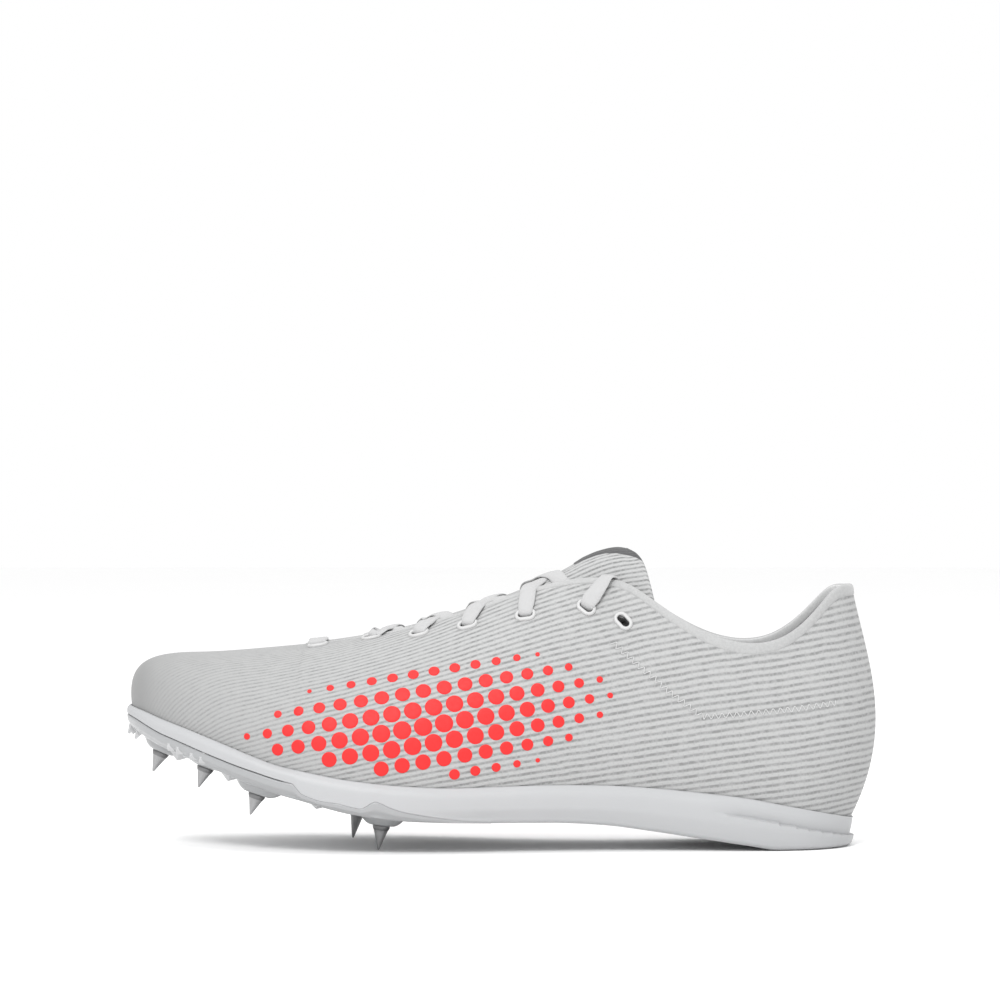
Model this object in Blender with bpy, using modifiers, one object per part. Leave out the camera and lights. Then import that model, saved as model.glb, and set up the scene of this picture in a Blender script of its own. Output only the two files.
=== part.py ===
"""Track spike shoe, left foot: a distance spike with a hollow mesh upper, a foam
midsole, a moulded spike plate, six screw-in pins, tongue, sock liner, flat laces
and moulded lace rings.

Frame: toe towards -X, heel towards +X, outer (lateral) side towards -Y, inner
(medial) side towards +Y, +Z up. The shoe stands on the flat of its heel and on the
tips of its two rear pins, all at z = 0. Tables and sizes are in millimetres and are
turned to metres where the meshes are made.
"""

import math

import bmesh
import bpy
import numpy as np
from mathutils import Vector

# ---------------------------------------------------------------- named sizes, mm
MM = 0.001
ROW_SHIFT_X, ROW_SHIFT_Y = -0.058, -0.312  # brings the bounding box's middle to x = y = 0
GAP = 0.3  # clearance between pieces that touch in the real shoe
WALL = 1.8  # mesh, foam and lining of the upper
RIM_DEPTH = 2.5  # how deep the upper and sock liner sit inside the midsole's rim
RIM_EDGE = 0.5  # thickness of the rim at its very top
UPPER_INSET = 0.8  # upper's outer face, in from the midsole's rim
SHOULDER = 2.0  # how far the midsole swells out below its rim
LINER_T = 3.0
TONGUE_T = 2.6
PLATE_FLOOR = 1.6  # thickness of the spike plate's floor
PLATE_WALL = 2.6  # width of the plate's standing edge
PLATE_REAR_X = -4.0
HEEL_FLAT_FRONT = 103.0  # the heel is flat from here back
LACE_W, LACE_T = 6.0, 1.1
RING_L, RING_W, RING_T = 8.0, 5.6, 0.9  # moulded lace ring
SLOT_L, SLOT_W = 5.4, 2.7  # its slot
HOLE_L, HOLE_W = 6.0, 3.3  # the punched hole behind it
THROAT_FRONT_X, THROAT_ROUND = -73.0, 10.0
PIN_FLANGE_R, PIN_FLANGE_H = 3.2, 2.2
PIN_CONE_R, PIN_TIP_R, PIN_CONE_H = 2.7, 0.35, 6.0
PIN_STEM_R, PIN_STEM_H = 2.0, 3.4

# ---------------------------------------------------------------- the last, by section
# One row for each section, from the back of the heel to the tip of the toe.
# feather: where upper and midsole meet, seen from above, for each side.
# top: the end of the section, on the collar, the throat's edge or the crown.
# flare: outward angle from vertical at the feather. lean: slope at the top.
# low, high: how far each end's direction reaches.
SECTION = (
    "name",
    "lat_x", "lat_y", "med_x", "med_y",
    "top_x", "mid_y", "half", "top_z",
    "flare", "lean", "low", "high",
)
SECTIONS = [
    ("heel_back",    132.4,   0.0,  132.4,  0.0,  131.9, 0.0,  0.0, 97.2, 27, 79, .45, .33),
    ("heel_round_a", 130.3,  -9.8,  130.3,  9.8,  129.8, 0.0,  8.4, 97.0, 26, 79, .44, .33),
    ("heel_round_b", 125.0, -17.8,  125.0, 17.8,  124.8, 0.0, 15.0, 95.6, 25, 80, .42, .33),
    ("heel_round_c", 116.5, -24.8,  116.5, 24.6,  116.4, 0.0, 21.0, 87.2, 23, 80, .38, .33),
    ("heel_side",    102.0, -29.0,  102.0, 28.4,  102.6, 0.0, 26.4, 77.4, 20, 80, .35, .33),
    ("quarter",       82.0, -30.8,   82.0, 28.0,   81.0, 0.0, 28.0, 78.0, 18, 76, .33, .33),
    ("waist_rear",    60.0, -31.8,   60.0, 25.6,   58.0, 0.0, 22.8, 90.8, 15, 64, .34, .34),
    ("facing_top",    46.0, -33.2,   46.0, 24.0,   45.0, 0.0, 17.0, 98.6, 13, 56, .34, .35),
    ("waist",         36.0, -34.6,   36.0, 23.6,   34.5, 0.3, 15.0, 100.0, 12, 48, .35, .36),
    ("waist_front",   16.0, -38.0,   16.0, 26.2,   14.0, 1.0, 13.6, 96.6, 12, 36, .38, .38),
    ("instep",        -8.0, -41.6,   -8.0, 33.0,  -10.0, 2.0, 12.4, 88.6, 12, 26, .42, .42),
    ("ball_rear",    -34.0, -44.5,  -34.0, 40.4,  -36.0, 3.0, 10.4, 81.0, 14, 14, .50, .48),
    ("ball_front",   -58.0, -44.5,  -60.0, 44.8,  -60.0, 4.0,  7.6, 76.6, 15,  5, .55, .50),
    ("toe_rear",     -84.0, -39.6,  -88.0, 44.8,  -80.0, 4.8,  6.6, 74.3, 14,  0, .62, .55),
    ("toe_mid",     -107.0, -29.6, -112.0, 38.6,  -97.0, 5.8,  5.0, 72.7, 10,  0, .72, .62),
    ("toe_round",   -126.4, -15.9, -130.0, 27.8, -107.0, 6.8,  3.0, 72.0,  8,  0, .80, .70),
    ("toe_front",   -136.5,  -3.1, -137.7, 18.1, -111.0, 7.4,  1.2, 71.9,  7,  0, .84, .75),
    ("toe_tip",     -139.7,   8.2, -139.7,  8.2, -112.0, 7.6,  0.0, 71.9,  7,  0, .85, .76),
]
# Heights along the shoe: the midsole's rim, and the sole's underside at its edge.
HEIGHT = ("x", "rim", "base")
HEIGHTS = [
    (-142, 52.6, 45.8), (-134, 50.6, 41.3), (-126, 47.9, 37.4), (-118, 45.3, 34.5),
    (-110, 42.5, 31.5), (-100, 38.8, 27.9), (-91, 35.4, 24.5), (-82, 32.3, 21.6),
    (-73, 30.3, 19.2), (-54, 26.8, 14.3), (-36, 24.9, 11.9), (-18, 24.0, 11.1),
    (0, 24.4, 10.9), (18, 24.8, 10.8), (37, 24.5, 9.8), (55, 23.4, 7.4),
    (74, 21.5, 4.4), (92, 19.2, 1.6), (103, 17.0, 0.0), (118, 13.9, 0.0),
    (134, 10.2, 0.0),
]
# The plate's standing edge: its height above the sole's underside.
EDGE = ("x", "height")
EDGES = [
    (-142, 3.9), (-134, 5.6), (-127, 5.8), (-118, 5.7), (-100, 5.45), (-88, 5.9),
    (-75.5, 5.9), (-71.8, 3.0), (-66, 2.4), (-58, 3.2), (-51, 2.9), (-45, 6.4),
    (-40, 4.8), (-33, 3.3), (-25, 2.6), (-12, 2.4), (0, 2.2),
]
# Lace rings, front to back: place on the outer side, and the slot's turn in degrees.
RING = ("x", "z", "turn")
RINGS = [
    (-68.0, 75.0, 0), (-48.0, 78.0, -8), (-30.3, 79.7, -10), (-12.2, 83.0, -8),
    (9.3, 86.6, 0), (31.9, 89.4, 48), (45.5, 84.4, 52),
]
# Pins: the middle of each boss seen from above and its half sizes; every pin stands
# square to the plate.
PIN = ("name", "x", "y", "boss_long", "boss_wide", "boss_high")
PINS = [
    ("rear_outer", -43.3, -25.0, 8.2, 6.4, 3.4),
    ("rear_inner", -53.7, 27.0, 8.2, 6.4, 3.4),
    ("mid_outer", -88.5, -27.0, 8.8, 6.4, 2.9),
    ("mid_inner", -91.9, 28.0, 8.2, 6.2, 2.9),
    ("front_outer", -109.0, -12.0, 7.6, 6.2, 1.4),
    ("front_inner", -126.1, 2.0, 7.6, 6.2, 3.0),
]
# Small moulded teeth: round the toe's tip, and pyramids between the pins.
TOOTH = ("x", "y", "half_long", "half_wide", "height", "turn")
TEETH = [
    (-138.5, 5.6, 1.7, 1.5, 3.0, 20), (-137.6, 12.4, 1.7, 1.5, 3.0, -20),
    (-135.4, -1.8, 1.7, 1.5, 2.8, 30), (-133.4, 19.5, 1.7, 1.5, 2.8, -30),
    (-119.0, -15.2, 4.2, 2.6, 2.6, 0), (-112.5, 29.5, 3.8, 2.6, 2.4, 0),
    (-99.6, -25.0, 4.0, 2.6, 2.4, 0), (-112.0, 8.5, 3.6, 3.6, 2.2, 45),
    (-98.0, 3.0, 3.6, 3.6, 2.2, 45), (-84.0, 9.0, 3.6, 3.6, 2.2, 45),
    (-84.0, -7.0, 3.6, 3.6, 2.2, 45), (-70.0, 2.0, 3.6, 3.6, 2.2, 45),
    (-76.0, 33.0, 4.0, 2.8, 2.2, 0), (-67.0, -31.0, 4.0, 2.8, 2.0, 0),
    (-56.0, -10.0, 3.6, 3.6, 2.0, 45), (-42.0, 6.0, 3.6, 3.6, 2.0, 45),
]
# Tongue, front to back: the section it is sewn or tucked under, how far below the
# facing's edge its sides reach, and the crown of its top face.
TONGUE_ROW = ("x", "reach", "crown_x", "crown_z")
TONGUE_ROWS = [
    (-84, 13, -84.0, 71.2), (-75, 13, -75.0, 72.4), (-64, 12, -64.0, 74.8),
    (-50, 12, -50.0, 78.2), (-36, 12, -36.0, 81.6), (-22, 12, -22.0, 85.4),
    (-8, 12, -8.0, 89.8), (6, 12, 6.0, 95.0), (18, 12, 17.5, 100.0),
    (29, 12, 26.8, 104.2), (40, 11, 35.4, 108.4), (50, 9, 42.6, 111.0),
    (58, 7, 47.8, 111.7),
]


def column(rows, names, name):
    return np.array([row[names.index(name)] for row in rows], float)


def along(rows, names, name, x):
    """Smooth value of a height table at x: monotone cubic between its rows."""
    xs, ys = column(rows, names, "x"), column(rows, names, name)
    h, d = np.diff(xs), np.diff(ys) / np.diff(xs)
    m = np.zeros(len(xs))
    m[0], m[-1] = d[0], d[-1]
    for i in range(1, len(xs) - 1):
        if d[i - 1] * d[i] > 0:
            w1, w2 = 2 * h[i] + h[i - 1], h[i] + 2 * h[i - 1]
            m[i] = (w1 + w2) / (w1 / d[i - 1] + w2 / d[i])
    x = np.clip(np.asarray(x, float), xs[0], xs[-1])
    i = np.clip(np.searchsorted(xs, x) - 1, 0, len(xs) - 2)
    u = (x - xs[i]) / h[i]
    return (
        ys[i] * (1 + 2 * u) * (1 - u) ** 2
        + h[i] * m[i] * u * (1 - u) ** 2
        + ys[i + 1] * u * u * (3 - 2 * u)
        + h[i] * m[i + 1] * u * u * (u - 1)
    )


def rim_z(x):
    return along(HEIGHTS, HEIGHT, "rim", x)


def base_z(x):
    return np.where(
        np.asarray(x) >= HEEL_FLAT_FRONT, 0.0, along(HEIGHTS, HEIGHT, "base", x)
    )


def edge_top_z(x):
    """Top of the plate's standing edge, where foam and plate part."""
    return base_z(x) + along(EDGES, EDGE, "height", x)


class Loop:
    """Smooth closed curve through rows of values, with one parameter for all columns."""

    def __init__(self, t, values, period):
        n = len(t)
        h = np.diff(np.append(t, t[0] + period))
        a, b = np.zeros((n, n)), np.zeros((n, values.shape[1]))
        for i in range(n):
            before, after = (i - 1) % n, (i + 1) % n
            a[i, before] += h[before]
            a[i, i] += 2 * (h[before] + h[i])
            a[i, after] += h[i]
            b[i] = 6 * (
                (values[after] - values[i]) / h[i]
                - (values[i] - values[before]) / h[before]
            )
        self.t, self.h, self.v, self.m = t, h, values, np.linalg.solve(a, b)
        self.period = period

    def __call__(self, t):
        t = np.mod(np.asarray(t, float), self.period)
        i = np.clip(np.searchsorted(self.t, t, side="right") - 1, 0, len(self.t) - 1)
        k = (i + 1) % len(self.t)
        h, u = self.h[i][..., None], (t - self.t[i])[..., None]
        w = h - u
        return (
            self.m[i] * w**3 / (6 * h)
            + self.m[k] * u**3 / (6 * h)
            + (self.v[i] / h - self.m[i] * h / 6) * w
            + (self.v[k] / h - self.m[k] * h / 6) * u
        )


def section_loop():
    """The sections as one closed curve: outer side from heel to toe, and back along the inner side."""
    col = {name: column(SECTIONS, SECTION, name) for name in SECTION[1:]}
    lat = np.column_stack([col["lat_x"], col["lat_y"]])
    med = np.column_stack([col["med_x"], col["med_y"]])
    step = (
        np.linalg.norm(np.diff(lat, axis=0), axis=1)
        + np.linalg.norm(np.diff(med, axis=0), axis=1)
    ) / 2
    t = np.concatenate([[0], np.cumsum(step)])
    top = t[-1]
    shared = [col[n] for n in ("top_x", "mid_y", "top_z", "flare", "lean", "low", "high")]
    outer = np.column_stack([lat, -col["half"], *shared])
    inner = np.column_stack([med, col["half"], *shared])
    order = range(len(SECTIONS) - 2, 0, -1)
    ts = np.concatenate([t, [2 * top - t[i] for i in order]])
    values = np.vstack([outer, [inner[i] for i in order]])
    return Loop(ts, values, 2 * top), t


LAST, SECTION_T = section_loop()
TOE_T = SECTION_T[-1]


def side_t(t, side):
    """Loop parameter of section t on one side: -1 outer, +1 inner."""
    return t if side < 0 else 2 * TOE_T - t


def outward(t, side):
    """Outward normal: away from the shoe's own middle line."""
    s = side_t(np.asarray(t, float), side)
    d = LAST(s + 0.05)[..., :2] - LAST(s - 0.05)[..., :2]
    # The loop runs heel, outer side, toe, inner side: outward lies on its left hand.
    n = np.stack([d[..., 1], -d[..., 0]], -1)
    return -n / np.linalg.norm(n, axis=-1, keepdims=True)


def throat_open(x):
    """0 where the vamp is closed, rising over a round end to 1 along the throat."""
    u = np.clip((np.asarray(x) - THROAT_FRONT_X) / THROAT_ROUND, 0, 1)
    return np.sqrt(np.clip(1 - (1 - u) ** 2, 0, 1))


def rib(t, side, v):
    """Outer face of the upper on section t: v from 0 at the feather to 1 at the top."""
    t, v = np.broadcast_arrays(np.asarray(t, float), np.asarray(v, float))
    row = LAST(side_t(t, side))
    fx, fy, half, tx, my, tz, flare, lean, low, high = np.moveaxis(row, -1, 0)
    n = outward(t, side)
    f = np.stack([fx, fy], -1) - n * UPPER_INSET
    fz = rim_z(fx)
    top = np.stack([tx, my + half * throat_open(tx)], -1)
    rise = tz - fz
    reach = f - top
    span = np.linalg.norm(reach, axis=-1)
    out = reach + 6 * n
    out = out / np.linalg.norm(out, axis=-1, keepdims=True)
    flare, lean = np.radians(flare), np.radians(np.maximum(lean, 0))
    a, b = low * rise, high * (span * np.cos(lean) + rise * np.sin(lean))
    p0 = np.concatenate([f, fz[..., None]], -1)
    p1 = np.concatenate(
        [f + n * (a * np.sin(flare))[..., None], (fz + a * np.cos(flare))[..., None]], -1
    )
    p2 = np.concatenate(
        [top + out * (b * np.cos(lean))[..., None], (tz - b * np.sin(lean))[..., None]], -1
    )
    p3 = np.concatenate([top, tz[..., None]], -1)
    v = v[..., None]
    return (
        p0 * (1 - v) ** 3
        + 3 * p1 * v * (1 - v) ** 2
        + 3 * p2 * v * v * (1 - v)
        + p3 * v**3
    )


def rib_normal(t, side, v):
    """Outward unit normal of the upper."""
    e = 1e-3
    a = rib(t + 0.2, side, v) - rib(t - 0.2, side, v)
    b = rib(t, side, np.minimum(v + e, 1)) - rib(t, side, np.maximum(v - e, 0))
    n = np.cross(a, b) * side
    return n / np.linalg.norm(n, axis=-1, keepdims=True)


def t_at_x(x, side):
    """Section parameter whose feather point lies at x."""
    ts = np.linspace(2, TOE_T - 2, 2000)
    xs = LAST(side_t(ts, side))[:, 0]
    return float(np.interp(-x, -xs, ts))


def find_on_upper(x, z, side):
    """(t, v) of the upper's outer face nearest to a given x and height."""
    ts = np.linspace(SECTION_T[6], SECTION_T[14], 500)
    vs = np.linspace(0.5, 1.0, 260)
    t, v = np.meshgrid(ts, vs, indexing="ij")
    p = rib(t, side, v)
    d = (p[..., 0] - x) ** 2 + (p[..., 2] - z) ** 2
    k = np.unravel_index(np.argmin(d), d.shape)
    return float(t[k]), float(v[k])


# ---------------------------------------------------------------- scene and helpers
for old in list(bpy.data.objects):
    bpy.data.objects.remove(old)

SHOE = bpy.data.collections.new("track_spike_shoe")
TOOLS = bpy.data.collections.new("cutters")
bpy.context.scene.collection.children.link(SHOE)
bpy.context.scene.collection.children.link(TOOLS)


def material(name, look):
    """One object's own material, from a look of colour, roughness and metallic value."""
    colour, roughness, metallic = look
    made = bpy.data.materials.new(name)
    made.use_nodes = True
    shader = made.node_tree.nodes["Principled BSDF"]
    shader.inputs["Base Color"].default_value = (*colour, 1)
    shader.inputs["Roughness"].default_value = roughness
    shader.inputs["Metallic"].default_value = metallic
    return made


# Looks: colour, roughness, metallic value.
MESH_CLOTH = ((0.60, 0.61, 0.61), 0.85, 0.0)
FOAM = ((0.80, 0.81, 0.82), 0.55, 0.0)
PLATE = ((0.78, 0.80, 0.80), 0.35, 0.0)
STEEL = ((0.36, 0.36, 0.37), 0.35, 0.9)
LACE = ((0.72, 0.72, 0.72), 0.8, 0.0)
RING_LOOK = ((0.82, 0.82, 0.82), 0.45, 0.0)
LINER = ((0.42, 0.42, 0.43), 0.9, 0.0)


def new_object(name, bm, look=None, tool=False, smooth=True, sharp=38):
    mesh = bpy.data.meshes.new(name)
    bm.to_mesh(mesh)
    bm.free()
    obj = bpy.data.objects.new(name, mesh)
    if look:
        mesh.materials.append(material(name + "_material", look))
    if tool:
        TOOLS.objects.link(obj)
        obj.hide_render = True
        obj.display_type = "WIRE"
    else:
        SHOE.objects.link(obj)
    if smooth:
        mesh.shade_smooth()
        mesh.set_sharp_from_angle(angle=math.radians(sharp))
    return obj


def loft(rings, closed_ring, weld=2e-5):
    """Quads between successive rings of points (mm). Points that coincide are made one."""
    bm = bmesh.new()
    verts = [[bm.verts.new(Vector(p) * MM) for p in ring] for ring in rings]
    for a, b in zip(verts, verts[1:]):
        n = len(a)
        for i in range(n if closed_ring else n - 1):
            k = (i + 1) % n
            bm.faces.new((a[i], a[k], b[k], b[i]))
    bmesh.ops.remove_doubles(bm, verts=bm.verts, dist=weld)
    bmesh.ops.dissolve_degenerate(bm, edges=bm.edges, dist=weld)
    return bm


def close_and_turn(bm):
    """Fills open ends and turns every face outwards."""
    edges = [e for e in bm.edges if e.is_boundary]
    if edges:
        bmesh.ops.holes_fill(bm, edges=edges, sides=0)
    bmesh.ops.recalc_face_normals(bm, faces=bm.faces)
    volume = bm.calc_volume(signed=True)
    if volume < 0:
        bmesh.ops.reverse_faces(bm, faces=bm.faces)
    return bm


def spread_sections(count, extra=()):
    """Section parameters from heel to toe, closer together at both round ends."""
    u = np.linspace(0, 1, count)
    t = TOE_T * (u - 0.085 * np.sin(2 * np.pi * u) / (2 * np.pi) * 2)
    return np.unique(np.round(np.concatenate([t, extra]), 4))


# ---------------------------------------------------------------- upper
def build_upper():
    """Open surface of the last with its throat and collar left open, made solid inwards."""
    ts = spread_sections(37, [t_at_x(THROAT_FRONT_X + 3.2, -1)])
    vs = [0, 0.06, 0.14, 0.24, 0.35, 0.46, 0.57, 0.68, 0.79, 0.9, 1.0]
    ribs = []
    for side in (-1, 1):
        for t in ts if side < 0 else ts[-2:0:-1]:
            line = [rib(t, side, v) for v in vs]
            inside = dish_point(t, side, -UPPER_INSET - WALL, GAP)
            foot = line[0] - np.array([0, 0, RIM_DEPTH - GAP])
            foot[2] = max(foot[2], inside[2])
            ribs.append([foot, *line])
    bm = bmesh.new()
    grid = [[bm.verts.new(Vector(p) * MM) for p in line] for line in ribs]
    for a, b in zip(grid, grid[1:] + grid[:1]):
        for i in range(len(a) - 1):
            bm.faces.new((a[i], b[i], b[i + 1], a[i + 1]))
    bmesh.ops.remove_doubles(bm, verts=bm.verts, dist=2e-5)
    bmesh.ops.dissolve_degenerate(bm, edges=bm.edges, dist=1e-5)
    bmesh.ops.recalc_face_normals(bm, faces=bm.faces)
    lowest = max(bm.faces, key=lambda f: f.calc_center_median().x)
    if lowest.normal.x < 0:
        bmesh.ops.reverse_faces(bm, faces=bm.faces)
    upper = new_object("upper", bm, MESH_CLOTH)
    solid = upper.modifiers.new("wall", "SOLIDIFY")
    solid.thickness = WALL * MM
    solid.offset = -1
    solid.use_even_offset = True
    solid.use_quality_normals = True
    return upper


def oval(long, wide, count):
    """Outline of a round-ended slot."""
    r, straight = wide / 2, (long - wide) / 2
    half = count // 2
    a = [math.pi * (k / (half - 1)) - math.pi / 2 for k in range(half)]
    right = [(straight + r * math.cos(x), r * math.sin(x)) for x in a]
    return right + [(-x, -y) for x, y in right]


def ring_frame(row, side):
    """Place, outward normal and the slot's long and short directions of a lace ring."""
    x, z, turn = row
    t, v = find_on_upper(x, z, -1)
    p, n = rib(t, side, v), rib_normal(t, side, v)
    a = math.radians(turn)
    d = np.array([math.cos(a), 0, -math.sin(a)])
    d = d - n * np.dot(d, n)
    d /= np.linalg.norm(d)
    return p, n, d, np.cross(n, d)


def slot_prism(bm, p, n, d, e, long, wide, below, above, count=12):
    ends = []
    for h in (-below, above):
        ends.append(
            [bm.verts.new(Vector(p + d * a + e * b + n * h) * MM) for a, b in oval(long, wide, count)]
        )
    bm.faces.new(ends[0][::-1])
    bm.faces.new(ends[1])
    for i in range(len(ends[0])):
        k = (i + 1) % len(ends[0])
        bm.faces.new((ends[0][i], ends[0][k], ends[1][k], ends[1][i]))


def punch_lace_holes(upper):
    bm = bmesh.new()
    for row in RINGS:
        for side in (-1, 1):
            p, n, d, e = ring_frame(row, side)
            slot_prism(bm, p, n, d, e, HOLE_L, HOLE_W, 3.4, 1.2)
    bmesh.ops.recalc_face_normals(bm, faces=bm.faces)
    holes = new_object("lace_hole_cutter", bm, tool=True, smooth=False)
    cut = upper.modifiers.new("lace_holes", "BOOLEAN")
    cut.solver = "EXACT"
    cut.operation = "DIFFERENCE"
    cut.object = holes


def build_rings():
    for k, row in enumerate(RINGS, 1):
        for side, word in ((-1, "outer"), (1, "inner")):
            p, n, d, e = ring_frame(row, side)
            bm = bmesh.new()
            loops = []
            for long, wide, h in (
                (SLOT_L, SLOT_W, GAP),
                (RING_L, RING_W, GAP),
                (RING_L - 0.3, RING_W - 0.3, GAP + RING_T * 0.7),
                (RING_L - 1.2, RING_W - 1.2, GAP + RING_T),
                (SLOT_L + 0.2, SLOT_W + 0.2, GAP + RING_T),
            ):
                # The ring bends with the upper below it.
                line = []
                for a, b in oval(long, wide, 12):
                    q = p + d * a + e * b
                    drop = (a * a + b * b) / (2 * 110)
                    line.append(q + n * (h - drop))
                loops.append(line)
            bm = loft(loops + [loops[0]], True)
            close_and_turn(bm)
            new_object(f"lace_ring_{word}_{k}", bm, RING_LOOK)


# ---------------------------------------------------------------- sole
def sole_point(t, side, out, z):
    p = LAST(side_t(t, side))[:2] + outward(t, side) * out
    return np.array([p[0], p[1], z])


def under_point(t, side, out, lift):
    """Point a given height above the sole's underside."""
    p = sole_point(t, side, out, 0.0)
    p[2] = float(base_z(p[0])) + lift
    return p


def dish_point(t, side, out, lift):
    """Point a given height above the floor of the midsole's dish."""
    p = sole_point(t, side, out, 0.0)
    p[2] = float(rim_z(p[0])) - RIM_DEPTH + lift
    return p


def across(a, b, count):
    """Points strictly between a and b."""
    return [a + (b - a) * (k / (count + 1)) for k in range(1, count + 1)]


def shoulder(x):
    """The rim swells less round the back of the heel and round the toe."""
    heel, toe = np.clip((x - 96) / 34, 0, 1), np.clip((-124 - x) / 13, 0, 1)
    return SHOULDER * (1 - 0.85 * heel - 0.5 * toe)


def midsole_side(t, side, plated):
    x = float(LAST(side_t(t, side))[0])
    zf, zb, sh = float(rim_z(x)), float(base_z(x)), float(shoulder(x))
    zs = float(edge_top_z(x))
    band = zf - (zs if plated else zb)
    sd = min(4.6, 0.6 * band)
    line = [
        (-RIM_EDGE, zf - RIM_DEPTH), (-RIM_EDGE, zf), (0.0, zf),
        (0.62 * sh, zf - 0.35 * sd), (0.93 * sh, zf - 0.7 * sd), (sh, zf - sd),
    ]
    if plated:
        line += [
            (sh, (zf - sd + zs) / 2), (sh, zs + 0.35), (sh - 0.35, zs), (-PLATE_WALL, zs),
        ]
        low = [(-PLATE_WALL - GAP, PLATE_FLOOR + GAP)]
    else:
        wall = zf - sd - zb
        line += [(0.85 * sh, zf - sd - 0.42 * wall), (0.1 * sh, zb + 2.6)]
        low = [(-1.0, 0.8), (-2.2, 0.1), (-PLATE_WALL - GAP, 0.0)]
    return [sole_point(t, side, out, z) for out, z in line] + [
        under_point(t, side, out, lift) for out, lift in low
    ]


def upright(ring):
    """Moves a ring's points along x into one upright plane through its two outermost points."""
    ring = np.array(ring)
    a, b = ring[np.argmin(ring[:, 1])], ring[np.argmax(ring[:, 1])]
    ring[:, 0] = a[0] + (b[0] - a[0]) * (ring[:, 1] - a[1]) / (b[1] - a[1])
    return list(ring)


def sole_sections():
    """Sections shared by midsole and plate, and where the plate's inlay begins."""
    step = t_at_x(PLATE_REAR_X + 3 * GAP, -1)
    marks = [t_at_x(row[0], -1) for row in EDGES[6:14]]
    return spread_sections(41, [step - 0.02, step + 0.02, t_at_x(HEEL_FLAT_FRONT, -1), *marks]), step


def build_midsole():
    """Foam from heel to toe, dished on top to hold the upper, inlaid below for the plate."""
    ts, step = sole_sections()
    rings = []
    for t in ts:
        plated = t > step
        lat, med = (midsole_side(t, side, plated) for side in (-1, 1))
        floor = across(lat[0], med[0], 3)
        under = across(med[-1], lat[-1], 3)
        ring = [*lat[::-1], *floor, *med, *under]
        rings.append(upright(ring) if abs(t - step) < 0.1 else ring)
    bm = loft(rings, True)
    close_and_turn(bm)
    return new_object("midsole", bm, FOAM)


def plate_side(t, side):
    x = float(LAST(side_t(t, side))[0])
    zb, sh, zs = float(base_z(x)), float(shoulder(x)), float(edge_top_z(x)) - GAP
    line = [
        (-PLATE_WALL, zs), (sh - 0.5, zs), (sh - 0.1, zs - 0.4), (sh - 0.3, zb + 0.5 * (zs - zb)),
    ]
    low = [(0.2, 0.9), (-1.2, 0.25), (-PLATE_WALL - GAP, 0.0)]
    return [
        under_point(t, side, -PLATE_WALL, PLATE_FLOOR),
        *(sole_point(t, side, out, z) for out, z in line),
        *(under_point(t, side, out, lift) for out, lift in low),
    ]


def plate_slope(x, y):
    """Place on the plate's underside, and its downward normal there."""
    z = float(base_z(x))
    dz = float(base_z(x + 2) - base_z(x - 2)) / 4
    n = np.array([dz, 0, -1.0])
    return np.array([x, y, z]), n / np.linalg.norm(n)


def stud(bm, p, n, sizes, count, turn=0.0):
    """Stack of ovals along n: each size is (height, half length, half width)."""
    along_x = np.array([1.0, 0, 0]) - n * n[0]
    along_x /= np.linalg.norm(along_x)
    side = np.cross(n, along_x)
    c, s = math.cos(turn), math.sin(turn)
    d, e = along_x * c + side * s, side * c - along_x * s
    rings = []
    for h, a, b in sizes:
        rings.append(
            [
                bm.verts.new(
                    Vector(
                        p + n * h
                        + d * (a * math.cos(2 * math.pi * k / count))
                        + e * (b * math.sin(2 * math.pi * k / count))
                    ) * MM
                )
                for k in range(count)
            ]
        )
    for r, q in zip(rings, rings[1:]):
        for i in range(count):
            k = (i + 1) % count
            bm.faces.new((r[i], r[k], q[k], q[i]))
    bm.faces.new(rings[0][::-1])
    bm.faces.new(rings[-1])


def build_plate():
    """Moulded tray below the forefoot, with a boss for each pin and teeth round the toe."""
    rear = t_at_x(PLATE_REAR_X, -1)
    ts = [t for t in sole_sections()[0] if t > rear + 1.0]
    rings = []
    for t in [rear, *ts]:
        lat, med = (plate_side(t, side) for side in (-1, 1))
        ring = [*lat[::-1], *across(lat[0], med[0], 3), *med, *across(med[-1], lat[-1], 3)]
        rings.append(upright(ring) if t == rear else ring)
    bm = loft(rings, True)
    close_and_turn(bm)
    plate = new_object("spike_plate", bm, PLATE)

    bosses, sockets = bmesh.new(), bmesh.new()
    for name, x, y, long, wide, high in PINS:
        p, n = plate_slope(x, y)
        stud(
            bosses, p, n,
            [(-0.9, long + 1.2, wide + 1.0), (min(0.4, 0.25 * high), long + 0.6, wide + 0.5),
             (high * 0.7, long - 1.2, wide - 0.8), (high, long - 3.2, wide - 2.2)],
            14,
        )
        depth = stem_start(high) - 0.5
        stud(sockets, p, n, [(depth, 2.3, 2.3), (high + 1.5, 2.3, 2.3)], 12)
    for x, y, long, wide, high, turn in TEETH:
        p, n = plate_slope(x, y)
        stud(bosses, p, n, [(-0.8, long, wide), (high, 0.35, 0.3)], 4, math.radians(turn))
    for bm in (bosses, sockets):
        bmesh.ops.recalc_face_normals(bm, faces=bm.faces)
    boss_tool = new_object("boss_shapes", bosses, tool=True, smooth=False)
    socket_tool = new_object("socket_cutter", sockets, tool=True, smooth=False)
    for name, operation, tool in (
        ("bosses", "UNION", boss_tool), ("sockets", "DIFFERENCE", socket_tool),
    ):
        change = plate.modifiers.new(name, "BOOLEAN")
        change.solver = "EXACT"
        change.operation = operation
        change.object = tool
        change.use_self = operation == "UNION"
    return plate


def stem_start(high):
    """How far along its axis a pin's stem begins: inside the boss, never through the plate."""
    return max(high - PIN_STEM_H, -0.5)


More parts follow.
